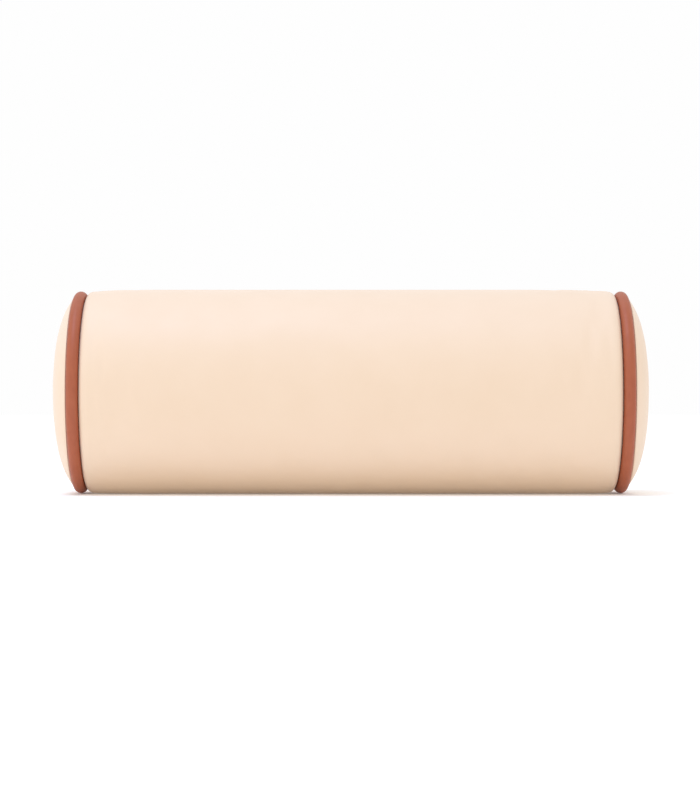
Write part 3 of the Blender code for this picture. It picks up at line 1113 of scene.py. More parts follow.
@dataclass
class Cover:
    """The body panel with its hemmed opening, and the two domed end panels."""

    layout: Layout
    bench: Workbench
    # how the body eases in towards a seam: (distance before the seam, drop in radius)
    shoulder: Sequence[tuple[float, float]] = (
        (77.5 * MM, 0.0),
        (60.0 * MM, 0.08 * MM),
        (43.5 * MM, 0.3 * MM),
        (31.0 * MM, 0.65 * MM),
        (21.5 * MM, 1.1 * MM),
        (15.6 * MM, 1.55 * MM),
        (12.9 * MM, 2.0 * MM),
        (10.7 * MM, 2.9 * MM),
        (9.1 * MM, 4.3 * MM),
        (8.0 * MM, 6.1 * MM),
        (7.4 * MM, 7.8 * MM),
    )
    opening_half: float = 250 * MM
    slot_half: float = 6 * MM
    fold_depth: float = 1.3 * MM
    fold_width: float = 2.4 * MM
    fold_curve: float = 1.6  # over 1, the fold's edge is rounder
    opening_blend: float = 1.5 * MM
    stitch_line: float = 9 * MM
    stitch_dent: float = 1.1 * MM
    seam_groove: float = 0.9 * MM
    groove_half: float = 0.9 * MM
    groove_fade: tuple[float, float] = (12 * MM, 7 * MM)  # before the piped seam
    step_round: float = 3 * MM
    step_along: float = 6 * MM
    step_turn: float = 2.2 * MM
    rows_apart: float = 0.8 * MM  # a row nearer than this to the opening's end rows is left out
    tip_points: int = 9  # points of the body's outline that face the piping and the seam
    dome_clear: float = 1.47 * MM  # from the piping to the dome's edge
    dome_points: int = 28
    dome_spacing: float = 0.85  # under 1, the dome's points crowd towards its edge
    round_share: float = 0.6
    stitch_pull: float = 0.35 * MM
    calm_near: float = 12 * MM  # the fabric stays even this close to the zip
    calm_far: float = 30 * MM
    pucker: float = 0.22 * MM
    pucker_reach: float = 16 * MM
    simulation: CoverSimulation | None = None

    @property
    def flange(self) -> float:
        """From the seam's plane to a panel's sewn edge."""
        return self.layout.gap * 1.5 + self.layout.wrap_wall

    @property
    def clear(self) -> float:
        """Radius about the cord at which a panel passes the piping."""
        return self.layout.piping_radius + self.layout.gap

    @property
    def fold(self) -> float:
        """Radius about the axis at which a panel turns in below the cord."""
        return self.layout.ring_radius - math.sqrt(self.clear**2 - self.flange**2)

    def end_outline(self) -> Outline:
        """The body's outline at the right end, from where it starts to ease in.

        Returns:
            Points round the shoulder, past the piping and down the sewn edge.
        """
        lay = self.layout
        knots = [(lay.seam_x - before, lay.body_radius - drop) for before, drop in self.shoulder]
        knots += [lay.ring_point(degrees, self.clear) for degrees in (196, 214, 234)]
        edge = lay.seam_x - self.flange
        return smooth_outline(knots, self.step_turn) + [(edge, self.fold), (edge, lay.flange_radius)]

    def dome_outline(self) -> Outline:
        """An end panel's outline from its crown to its turned edge, at the right end.

        Returns:
            Points from the crown outwards.
        """
        lay = self.layout
        edge_x = lay.seam_x + lay.piping_radius + self.dome_clear
        drop = lay.dome_x - edge_x
        shares = np.linspace(0, 1, self.dome_points) ** self.dome_spacing
        rise = 1 - self.round_share * shares**2 - (1 - self.round_share) * shares**6
        return [
            (edge_x + drop * up, share * lay.dome_edge_radius) for share, up in zip(shares, rise)
        ]

    def column_angles(self) -> np.ndarray:
        """Angles of the body's columns, closer together beside the zip.

        Returns:
            Rising angles from +Y, once round.
        """
        radius = self.layout.body_radius
        # millimetres from the zip's centre line, past the fold's edge and the stitch line
        near = [0, 0.5, 1.1, 2, 3.4, 5, 6, 6.15, 6.5, 7, 7.6, 8.4, 9, 9.7, 11, 13, 15.5]
        fine = np.array(near) * MM / radius
        count = round((math.pi - fine[-1]) * radius / self.step_round)
        coarse = np.linspace(fine[-1], math.pi, count + 1)[1:]
        half = np.concatenate([fine, coarse])
        return np.concatenate([half, 2 * math.pi - half[1:-1][::-1]])

    def rows(self) -> Outline:
        """Lays out the body panel.

        Returns:
            The place and radius of every row, from the left sewn edge to the right one.
        """
        end = self.end_outline()
        eased, turned_in = end[: -self.tip_points], end[-self.tip_points :]
        straight = eased[0][0]
        count = round(2 * straight / self.step_along)
        places = [*np.linspace(-straight, straight, count + 1)[1:-1]]
        places += [side * x for side in (-1, 1) for x, _ in eased]
        by_slot = [self.opening_half + shift for shift in (-3 * MM, -1 * MM, 0.0, 1 * MM, 3 * MM)]
        places = [x for x in places if min(abs(abs(x) - own) for own in by_slot) > self.rows_apart]
        places = sorted(places + [side * own for side in (-1, 1) for own in by_slot])
        eased_x, eased_r = zip(*eased)
        middle = [(x, float(np.interp(abs(x), eased_x, eased_r))) for x in places]
        return [(-x, radius) for x, radius in reversed(turned_in)] + middle + turned_in

    def depth(self, x: np.ndarray, arc: np.ndarray) -> np.ndarray:
        """How far the surface dips for the folds beside the zip and the closed seam past it.

        Args:
            x: places along the axis.
            arc: distances round the surface from the zip's centre line.

        Returns:
            Depths for each place and distance.
        """
        reach = np.abs(arc)
        from_middle = np.abs(x)
        rounded = 1 - smoothstep(reach, self.slot_half - 0.1 * MM, self.slot_half + self.fold_width)
        fold = self.fold_depth * rounded**self.fold_curve
        pulled = self.stitch_pull * np.exp(-(((reach - self.stitch_line) / self.stitch_dent) ** 2))
        closed = self.seam_groove * np.exp(-((reach / self.groove_half) ** 2))
        past = smoothstep(
            from_middle, self.opening_half - self.opening_blend, self.opening_half + self.opening_blend
        )
        fade_from, fade_to = (self.layout.seam_x - before for before in self.groove_fade)
        ends = 1 - smoothstep(from_middle, fade_from, fade_to)
        return (1 - past)[:, None] * (fold + pulled) + (past * ends)[:, None] * closed

    def puckers(self, distance: np.ndarray, angles: np.ndarray, seed: int) -> np.ndarray:
        """Small gathers that the piped seam draws into a panel.

        Args:
            distance: distance of each row from the seam.
            angles: the columns' angles.
            seed: the random seed of this seam.

        Returns:
            Radial offsets for each row and column.
        """
        fade = np.exp(-((distance / self.pucker_reach) ** 2) * 2)
        return self.pucker * fade[:, None] * waves(angles, seed, (31, 43, 52, 67))[None, :]

    def rest_on_floor(self, points: np.ndarray) -> np.ndarray:
        """Flattens what lies below the floor, with a soft edge to the flat strip.

        Args:
            points: the panel's points, changed in place.

        Returns:
            The same points.
        """
        soft = 0.12 * MM
        z = points[..., 2]
        points[..., 2] = 0.5 * (z + np.sqrt(z * z + soft * soft))
        return points

    def make_body(self) -> None:
        """The rolled panel, with folds along the zip and the closed seam past its ends."""
        lay = self.layout
        rows = self.rows()
        angles = self.column_angles()
        points = turned_points(rows, angles, lay.axis_height)
        x = np.array([row[0] for row in rows])
        radius = np.array([row[1] for row in rows])
        turn = (angles + math.pi) % (2 * math.pi) - math.pi
        arc = turn * lay.body_radius
        on_top = radius > lay.ring_radius
        offset = self.simulation.body_offset(x, angles) if self.simulation else 0.0
        calm = smoothstep(np.abs(arc), self.calm_near, self.calm_far)[None, :]
        offset = offset * calm * on_top[:, None] - self.depth(x, arc)
        for end in End:
            distance = np.abs(end.value * lay.seam_x - x)
            gathers = self.puckers(distance, angles, 3 + end.value)
            offset = offset + gathers * calm * on_top[:, None]
        points[..., 1] += offset * np.cos(angles)
        points[..., 2] += offset * np.sin(angles)
        points = self.rest_on_floor(points)
        faces = sheet_faces(len(rows), len(angles))
        face_x = np.abs([x[faces[:, 0] // len(angles)], x[faces[:, 2] // len(angles)]])
        face_arc = np.abs([arc[faces[:, 0] % len(angles)], arc[faces[:, 1] % len(angles)]])
        slack = 0.01 * MM
        in_opening = face_x.max(axis=0) <= self.opening_half + slack
        in_opening &= face_arc.max(axis=0) <= self.slot_half + slack
        piece = self.bench.mesh("cover_panel", points.reshape(-1, 3), faces[~in_opening])
        self.bench.thicken(piece, lay.cover_wall)
        self.bench.place(piece, Body.PILLOW, Slot.COVER, ["cover_body"])

    def make_end(self, end: End) -> None:
        """One domed end panel, turned in round the piping.

        Args:
            end: which end of the pillow.
        """
        lay = self.layout
        dome = self.dome_outline()[1:]
        edge = lay.seam_x + self.flange
        turn = [
            dome[-1],
            (dome[-1][0] - 0.5 * MM, dome[-1][1] + 0.15 * MM),
            lay.ring_point(-24, self.clear + 0.25 * MM),
            lay.ring_point(-45, self.clear),
            (edge, self.fold),
        ]
        line = dome[:-1] + smooth_outline(turn, 1.0 * MM) + [(edge, lay.flange_radius)]
        count = round(2 * math.pi * lay.ring_radius / self.step_round)
        angles = ring_angles(count)
        points = turned_points([(end.value * x, r) for x, r in line], angles, lay.axis_height)
        radii = np.array([r for _, r in line])
        on_dome = slice(0, len(dome))
        bulge = np.zeros((len(line), count))
        if self.simulation:
            bulge[on_dome] = self.simulation.dome_offset(end, radii[on_dome], angles)
        bulge[on_dome] += self.puckers(lay.ring_radius - radii[on_dome], angles, 11 + end.value)
        calm = smoothstep(radii, lay.dome_edge_radius - 2 * MM, lay.dome_edge_radius)
        bulge *= (1 - calm)[:, None]
        bulge[len(dome) :] = 0.0
        points[..., 0] += end.value * bulge
        faces = [tuple(face) for face in sheet_faces(len(line), count)]
        flat = np.vstack([points.reshape(-1, 3), [end.value * lay.dome_x, 0, lay.axis_height]])
        faces += [((index + 1) % count, index, len(flat) - 1) for index in range(count)]
        if end is End.RIGHT:
            faces = [face[::-1] for face in faces]
        piece = self.bench.mesh(f"{end.label}_end_disc", flat, faces)
        self.bench.thicken(piece, lay.cover_wall)
        self.bench.place(piece, Body.PILLOW, Slot.COVER, [f"{end.label}_end_panel"])

    def build(self) -> None:
        """Makes the cover's three panels, after the cloth simulation."""
        body = mirrored(self.end_outline()[:-4])
        half = len(body) // 2
        straight = body[half][0]
        middle = [(x, self.layout.body_radius) for x in np.linspace(-straight, straight, 61)[1:-1]]
        self.simulation = CoverSimulation(
            self.layout, body[:half] + middle + body[half:], self.dome_outline()
        )
        self.simulation.run()
        self.make_body()
        for end in End:
            self.make_end(end)


# ---------------------------------------------------------------- the piping


@dataclass
class Piping:
    """Each end's cord in its wrapped strip, whose tails run in between the sewn edges."""

    layout: Layout
    bench: Workbench
    columns: int = 240
    arc_step: int = 15
    uneven: float = 0.12 * MM
    strands: int = 3
    strand_twist: float = 26 * MM
    strand_share: float = 0.52  # a strand's radius against the cord's
    strand_sides: int = 8
    lap_angle: float = math.radians(-60)
    lap_length: float = 9 * MM
    lap_height: float = 0.5 * MM

    def make_wrap(self, end: End) -> None:
        """The wrapped strip, with its lapped join low at the back.

        Args:
            end: which end of the pillow.
        """
        lay = self.layout
        outer, inner = lay.piping_radius, lay.cord_radius + lay.gap
        slit = lay.gap / 2
        tail = slit + lay.wrap_wall
        tail_top = lay.ring_radius - math.sqrt(outer**2 - tail**2)
        slit_top = lay.ring_radius - math.sqrt(inner**2 - slit**2)
        around = range(255, -76, -self.arc_step)
        line = [(lay.seam_x - tail, lay.flange_radius), (lay.seam_x - tail, tail_top)]
        line += [lay.ring_point(degrees, outer) for degrees in around]
        line += [(lay.seam_x + tail, tail_top), (lay.seam_x + tail, lay.flange_radius)]
        line += [(lay.seam_x + slit, lay.flange_radius), (lay.seam_x + slit, slit_top)]
        line += [lay.ring_point(degrees, inner) for degrees in reversed(around)]
        line += [(lay.seam_x - slit, slit_top), (lay.seam_x - slit, lay.flange_radius)]
        angles = ring_angles(self.columns)
        points = turned_points([(end.value * x, r) for x, r in line], angles, lay.axis_height)
        crest = np.array([max(0.0, r - lay.ring_radius) for _, r in line]) / outer
        outside = np.array([index < len(around) + 4 for index in range(len(line))])
        shift = self.uneven * waves(angles, 5 + end.value, (5, 9, 14, 23, 37))
        arc = (angles - self.lap_angle + math.pi) % (2 * math.pi) - math.pi
        from_lap = np.abs(arc) * lay.ring_radius
        lap = self.lap_height * (1 - smoothstep(from_lap, self.lap_length * 0.8, self.lap_length))
        swell = (crest * outside)[:, None] * (shift + lap)[None, :]
        points[..., 1] += swell * np.cos(angles)
        points[..., 2] += swell * np.sin(angles)
        faces = sheet_faces(len(line), self.columns, closed_rows=True)
        piece = self.bench.mesh(f"{end.label}_piping_strip", points.reshape(-1, 3), faces)
        face_outwards(piece)
        self.bench.place(piece, Body.PILLOW, Slot.PIPING, [f"{end.label}_piping_cover"])

    def make_cord(self, end: End) -> None:
        """The twisted cotton cord: strands wound round each other into a ring.

        Args:
            end: which end of the pillow.
        """
        lay = self.layout
        strand = lay.cord_radius * self.strand_share
        offset = lay.cord_radius - strand
        turns = round(2 * math.pi * lay.ring_radius / self.strand_twist)
        angles = ring_angles(self.columns)
        out = np.stack([0 * angles, np.cos(angles), np.sin(angles)], axis=1)
        around = ring_angles(self.strand_sides)[None, :, None]
        faces = sheet_faces(self.columns, self.strand_sides, closed_rows=True)
        parts = []
        for index in range(self.strands):
            wind = turns * angles + index * 2 * math.pi / self.strands
            radius = lay.ring_radius + offset * np.cos(wind)
            path = np.stack(
                [
                    end.value * lay.seam_x + offset * np.sin(wind),
                    radius * np.cos(angles),
                    lay.axis_height + radius * np.sin(angles),
                ],
                axis=1,
            )
            spokes = np.cos(around) * out[:, None] + np.sin(around) * np.array(ALONG)
            parts.append(((path[:, None] + strand * spokes).reshape(-1, 3), faces))
        piece = self.bench.mesh(f"{end.label}_cord_strands", *gather(parts))
        face_outwards(piece)
        self.bench.place(piece, Body.PILLOW, Slot.CORD, [f"{end.label}_piping_cord"])

    def build(self) -> None:
        """Makes both ends' piping."""
        for end in End:
            self.make_wrap(end)
            self.make_cord(end)


# ---------------------------------------------------------------- stitching


@dataclass
class Stitching:
    """The rows of stitches at the end seams and beside the zip, and the tacks at its ends."""

    layout: Layout
    bench: Workbench
    stitch_length: float = 4.0 * MM
    stitch_gap: float = 0.7 * MM
    thread: float = 0.36 * MM
    seam_sink: float = 0.15 * MM
    seam_lift: float = 0.25 * MM
    top_lift: float = 0.4 * MM
    tack_pitch: float = 0.55 * MM
    tack_thread: float = 0.25 * MM
    tack_sink: float = 0.2 * MM
    tack_lift: float = 0.45 * MM

    @property
    def pitch(self) -> float:
        """From one stitch to the next."""
        return self.stitch_length + self.stitch_gap

    def make_seam(self, end: End, name: str) -> None:
        """One face's ring of stitches at an end seam.

        Args:
            end: which end of the pillow.
            name: which of the two threads.
        """
        node = f"{end.label}_{name}_thread"
        gauge = self.bench.gauge(node)
        middle = (gauge.x_low + gauge.x_high) / 2
        radius = (gauge.r_low + gauge.r_high) / 2
        outwards = math.copysign(1, middle - end.value * self.layout.seam_x)
        count = round(2 * math.pi * radius / self.pitch)
        half = math.pi / count * self.stitch_length / self.pitch
        parts = []
        for angle in ring_angles(count):
            ends = [
                (
                    middle - outwards * self.seam_sink,
                    radius * math.cos(turn),
                    self.layout.axis_height + radius * math.sin(turn),
                )
                for turn in (angle - half, angle + half)
            ]
            parts.append(stitch(*ends, (outwards, 0, 0), self.thread, self.seam_lift))
        piece = self.bench.mesh(f"{end.label}_{name}_stitches", *gather(parts))
        self.bench.place(piece, Body.PILLOW, Slot.THREAD, [node])

    def make_topstitch(self, half: Half) -> None:
        """One row of stitches along the opening.

        Args:
            half: which side of the zip.
        """
        node = f"topstitch_{half.label}"
        low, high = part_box(node)
        height = (low.z + high.z) / 2
        count = int((high.x - low.x) / self.pitch)
        parts = []
        for index in range(count):
            start = (index - count / 2) * self.pitch
            ends = [(x, low.y, height) for x in (start, start + self.stitch_length)]
            parts.append(stitch(*ends, ACROSS, self.thread, self.top_lift))
        piece = self.bench.mesh(f"{half.label}_top_stitches", *gather(parts))
        self.bench.place(piece, Body.PILLOW, Slot.THREAD, [node])

    def make_tack(self, end: End) -> None:
        """The dense zigzag that closes off the opening's end.

        Args:
            end: which end of the opening.
        """
        node = f"bartack_{end.label}"
        low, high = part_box(node)
        parts = []
        base = low.y - self.tack_sink
        heights = np.arange(low.z + 0.3 * MM, high.z - 0.3 * MM, self.tack_pitch)
        for index, height in enumerate(heights):
            slant = self.tack_pitch * 0.4 * (1 if index % 2 else -1)
            start = (low.x + 0.1 * MM, base, height)
            stop = (high.x - 0.1 * MM, base, height + slant)
            parts.append(stitch(start, stop, ACROSS, self.tack_thread, self.tack_lift))
        piece = self.bench.mesh(f"{end.label}_tack_stitches", *gather(parts))
        self.bench.place(piece, Body.PILLOW, Slot.THREAD, [node])

    def build(self) -> None:
        """Makes every row of stitches."""
        for end in End:
            for name in ("needle", "bobbin"):
                self.make_seam(end, name)
            self.make_tack(end)
        for half in Half:
            self.make_topstitch(half)


# ---------------------------------------------------------------- the zip


@dataclass
class Zip:
    """Tapes, interlocking coils, stops, and the hem turned under on both sides."""

    layout: Layout
    bench: Workbench
    coil_pitch: float = 469.9 * MM / 294  # a whole number of turns in the slider's travel
    wire: float = 0.32 * MM
    tape_wall: float = 0.6 * MM
    bead_height: float = 0.12 * MM
    bead_place: float = 4.4 * MM
    bead_half: float = 0.8 * MM
    coil_square: float = 0.7  # under 1, the coil's turns are squarer than a circle
    head_from_middle: float = 0.48 * MM
    hem_inner: float = 111.6 * MM
    hem_outer: float = 112.6 * MM
    hem_from: float = 8.8 * MM
    hem_to: float = 19.0 * MM

    def arc_section(self, inner: float, outer: float, z_from: float, z_to: float) -> Outline:
        """A section that follows the pillow's round.

        Args:
            inner: its inner radius.
            outer: its outer radius.
            z_from: the height above the axis at which it starts.
            z_to: the height above the axis at which it ends.

        Returns:
            Its (y, z) points.
        """
        heights = np.linspace(z_from, z_to, 12)
        height = self.layout.axis_height
        line = [(math.sqrt(outer**2 - z**2), height + z) for z in heights]
        return line + [(math.sqrt(inner**2 - z**2), height + z) for z in reversed(heights)]

    def make_tape(self, half: Half) -> None:
        """One side's woven tape, with the woven-in bead along the chain.

        Args:
            half: which side of the zip.
        """
        node = f"zip_tape_{half.label}"
        low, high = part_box(node)
        height = self.layout.axis_height
        outer = high.y
        inner_edge, outer_edge = sorted((abs(low.z - height), abs(high.z - height)))
        drop = outer - low.y - self.tape_wall
        spread = np.linspace(inner_edge, outer_edge, 14)
        bend = drop * smoothstep(spread, 5 * MM, outer_edge + 9 * MM) / 0.66
        bead = self.bead_height * np.exp(-(((spread - self.bead_place) / self.bead_half) ** 2))
        section = [(outer - b + k, height + half.value * z) for b, k, z in zip(bend, bead, spread)]
        section += [(y - self.tape_wall, z) for y, z in reversed(section)]
        places = np.linspace(low.x, high.x, 60)
        piece = self.bench.mesh(f"{half.label}_tape", *swept(section, places))
        face_outwards(piece)
        piece.data.set_sharp_from_angle(angle=math.radians(50))
        self.bench.place(piece, Body.PILLOW, Slot.TAPE, [node])

    def make_coil(self, half: Half) -> None:
        """One side's coil: a flattened spiral of monofilament.

        Args:
            half: which side of the zip.
        """
        node = f"zip_coil_{half.label}"
        low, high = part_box(node)
        height = self.layout.axis_height
        outer_edge = max(abs(low.z - height), abs(high.z - height))
        turns = int((high.x - low.x) / self.coil_pitch)
        per_turn = 9
        share = np.arange(turns * per_turn + 1) / per_turn
        wind = 2 * math.pi * share + (0.0 if half is Half.UPPER else math.pi)
        near, far = self.head_from_middle + self.wire, outer_edge - self.wire
        across = np.cos(wind)
        across = np.sign(across) * np.abs(across) ** self.coil_square
        path = np.stack(
            [
                low.x + self.coil_pitch * share,
                (low.y + high.y) / 2 + (high.y - low.y - 2 * self.wire) / 2 * np.sin(wind),
                height + half.value * ((near + far) / 2 + (far - near) / 2 * across),
            ],
            axis=1,
        )
        piece = self.bench.mesh(
            f"{half.label}_coil", *capped_tube(tube_points(path, self.wire, 6, (1, 0.01, 0.02)))
        )
        face_outwards(piece)
        self.bench.place(piece, Body.PILLOW, Slot.COIL, [node])

    def make_stop(self, node: str) -> None:
        """A clamped metal stop with rounded edges and a pressed groove.

        Args:
            node: the CAD node that it stands for.
        """
        low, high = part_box(node)
        middle = (low.x + high.x) / 2
        half_x, half_z = (high.x - low.x) / 2, (high.z - low.z) / 2
        corner, groove, pressed = 0.5 * MM, 0.4 * MM, 0.25 * MM
        lower = [
            (-half_x, corner - half_z), (corner - half_x, -half_z), (-groove, -half_z),
            (0.0, pressed - half_z), (groove, -half_z), (half_x - corner, -half_z),
            (half_x, corner - half_z),
        ]
        outline = lower + [(x, -z) for x, z in reversed(lower)]
        frame = (ALONG, UP, Vector((middle, high.y, (low.z + high.z) / 2)))
        piece = self.bench.mesh(
            node.replace("zip_", "clamped_"),
            *self.bench.extruded(outline, frame, high.y - low.y, 0.22 * MM),
        )
        face_outwards(piece)
        piece.data.set_sharp_from_angle(angle=math.radians(40))
        self.bench.place(piece, Body.PILLOW, Slot.METAL, [node])

    def make_hem(self, half: Half) -> None:
        """The cover's edge, turned under and sewn down beside the zip.

        Args:
            half: which side of the zip.
        """
        low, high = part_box("zip_tape_upper")
        ends = sorted((half.value * self.hem_from, half.value * self.hem_to))
        section = self.arc_section(self.hem_inner, self.hem_outer, *ends)
        places = np.linspace(low.x, high.x, 60)
        piece = self.bench.mesh(f"{half.label}_hem", *swept(section, places))
        face_outwards(piece)
        piece.data.set_sharp_from_angle(angle=math.radians(50))
        self.bench.place(piece, Body.PILLOW, Slot.COVER)

    def build(self) -> None:
        """Makes the whole zip apart from its slider."""
        for half in Half:
            self.make_tape(half)
            self.make_coil(half)
            self.make_hem(half)
            self.make_stop(f"zip_top_stop_{half.label}")
        self.make_stop("zip_bottom_stop")


@dataclass
class Slider:
    """The cast slider: two shield-shaped plates, side flanges, a wedge between them and a bridge."""

    bench: Workbench
    plate: float = 1.0 * MM
    bridge_height: float = 2.8 * MM
    bridge_half: float = 3.5 * MM
    bridge_bar: float = 0.9 * MM
    bridge_width: float = 2.0 * MM
    flange_inner: float = 3.3 * MM
    coil_base: float = 2.5 * MM
    edge: float = 0.25 * MM
    back_share: tuple[float, float] = (0.97, 0.92)  # the back plate is a little smaller
    shield: Sequence[tuple[float, float]] = (
        (-5.75 * MM, 2.7 * MM),
        (-5.3 * MM, 3.6 * MM),
        (-3.5 * MM, 3.95 * MM),
        (0.0, 4.1 * MM),
        (2.5 * MM, 4.3 * MM),
        (4.6 * MM, 4.1 * MM),
        (5.5 * MM, 3.1 * MM),
        (5.75 * MM, 1.7 * MM),
    )
    wedge_tip: tuple[float, float] = (2.6 * MM, 0.0)
    wedge: Sequence[tuple[float, float]] = (
        (3.4 * MM, 0.36 * MM),
        (4.5 * MM, 0.4 * MM),
        (5.3 * MM, 0.25 * MM),
    )

    def build(self) -> None:
        """Makes the slider as one cast piece."""
        low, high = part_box("zip_slider")
        middle, height = (low.x + high.x) / 2, (low.z + high.z) / 2
        top = high.y - self.bridge_height
        outline = list(self.shield) + [(x, -z) for x, z in reversed(self.shield)]
        narrow = [(x * self.back_share[0], z * self.back_share[1]) for x, z in outline]
        # the cross of ALONG and UP points into the pillow, so each form starts at its outer face
        parts = []
        for plan, face in ((outline, top), (narrow, low.y + self.plate)):
            place = Vector((middle, face, height))
            parts.append(self.bench.extruded(plan, (ALONG, UP, place), self.plate, self.edge))
        inner_face = top - self.plate / 2
        frame = (ALONG, UP, Vector((middle, inner_face, height)))
        reach = inner_face - (low.y + self.coil_base)
        for side in (1, -1):
            rim = [(x, z * side) for x, z in self.shield[1:-1]]
            inner = [(x, self.flange_inner * side) for x, _ in reversed(self.shield[1:-1])]
            parts.append(self.bench.extruded(rim + inner, frame, reach, 0.1 * MM))
        depth = inner_face - (low.y + self.plate / 2)
        wedge = [self.wedge_tip, *self.wedge] + [(x, -z) for x, z in reversed(self.wedge)]
        parts.append(self.bench.extruded(wedge, frame, depth, 0.08 * MM))
        half, bar, rise = self.bridge_half, self.bridge_bar, self.bridge_height
        outer_cut, inner_cut, foot = 0.9 * MM, 0.4 * MM, -0.3 * MM
        arch = [
            (-half, foot), (-half, rise - outer_cut), (-half + outer_cut, rise),
            (half - outer_cut, rise), (half, rise - outer_cut), (half, foot),
            (half - bar, foot), (half - bar, rise - bar - inner_cut),
            (half - bar - inner_cut, rise - bar), (-half + bar + inner_cut, rise - bar),
            (-half + bar, rise - bar - inner_cut), (-half + bar, foot),
        ]
        frame = (ALONG, ACROSS, Vector((middle, top, height - self.bridge_width / 2)))
        parts.append(self.bench.extruded(arch, frame, self.bridge_width, self.edge))
        piece = self.bench.mesh("cast_slider", *gather(parts))
        piece.data.set_sharp_from_angle(angle=math.radians(38))
        self.bench.place(piece, Body.SLIDER, Slot.METAL, ["zip_slider"])


@dataclass
class Pull:
    """The pull tab: a stamped tongue with an eye for the bridge and a ribbed grip."""

    bench: Workbench
    eye_bar: float = 1.1 * MM
    edge: float = 0.2 * MM
    ribs: int = 5
    rib_pitch: float = 1.1 * MM
    rib_height: float = 0.14 * MM
    rib_from_hinge: float = 26.0 * MM
    side: Sequence[tuple[float, float]] = (
        (0.55 * MM, 1.9 * MM),
        (0.3 * MM, 2.8 * MM),
        (-0.4 * MM, 3.0 * MM),
        (-4.0 * MM, 3.0 * MM),
        (-5.6 * MM, 2.6 * MM),
        (-7.6 * MM, 2.2 * MM),
        (-14.0 * MM, 2.5 * MM),
        (-21.0 * MM, 3.4 * MM),
        (-25.4 * MM, 3.5 * MM),
        (-27.2 * MM, 2.8 * MM),
        (-28.0 * MM, 1.2 * MM),
    )
    eye: Sequence[tuple[float, float]] = (
        (-0.6 * MM, 1.1 * MM),
        (-0.9 * MM, 1.3 * MM),
        (-3.6 * MM, 1.3 * MM),
        (-4.15 * MM, 0.9 * MM),
    )

    def build(self) -> None:
        """Makes the pull tab."""
        low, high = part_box("zip_pull")
        hinge = Vector((high.x - self.eye_bar / 2, (low.y + high.y) / 2, (low.z + high.z) / 2))
        curve = bpy.data.curves.new("tongue", "CURVE")
        curve.dimensions = "2D"
        curve.fill_mode = "BOTH"
        curve.extrude = (high.y - low.y) / 2 - self.edge
        curve.bevel_depth = self.edge
        curve.bevel_resolution = 2
        curve.offset = -self.edge
        for half in (smooth_outline(list(self.side), 0.8 * MM), list(self.eye)):
            loop = half + [(x, -z) for x, z in reversed(half)]
            spline = curve.splines.new("POLY")
            spline.points.add(len(loop) - 1)
            for point, (x, z) in zip(spline.points, loop):
                point.co = (x, z, 0, 1)
            spline.use_cyclic_u = True
        tongue = linked("tongue", curve)
        data = baked(tongue)
        points = np.array([vertex.co for vertex in data.vertices])
        faces = [tuple(face.vertices) for face in data.polygons]
        bpy.data.objects.remove(tongue)
        # the outline's own second direction is the pillow's height
        points = points[:, [0, 2, 1]] * [1, -1, 1] + np.array(hinge)
        parts = [(points, faces)]
        for index in range(self.ribs):
            place = hinge.x - self.rib_from_hinge + index * self.rib_pitch
            half_x, half_z = 0.28 * MM, (2.2 - 0.1 * abs(index - 1)) * MM
            outline = [(-half_x, -half_z), (half_x, -half_z), (half_x, half_z), (-half_x, half_z)]
            frame = (ALONG, UP, Vector((place, high.y + self.rib_height, hinge.z)))
            parts.append(self.bench.extruded(outline, frame, 3 * self.rib_height, 0.1 * MM))
        piece = self.bench.mesh("pull_tab", *gather(parts))
        self.bench.weld(piece)
        piece.data.set_sharp_from_angle(angle=math.radians(38))
        self.bench.place(piece, Body.PULL, Slot.METAL, ["zip_pull"])


# ---------------------------------------------------------------- the filling


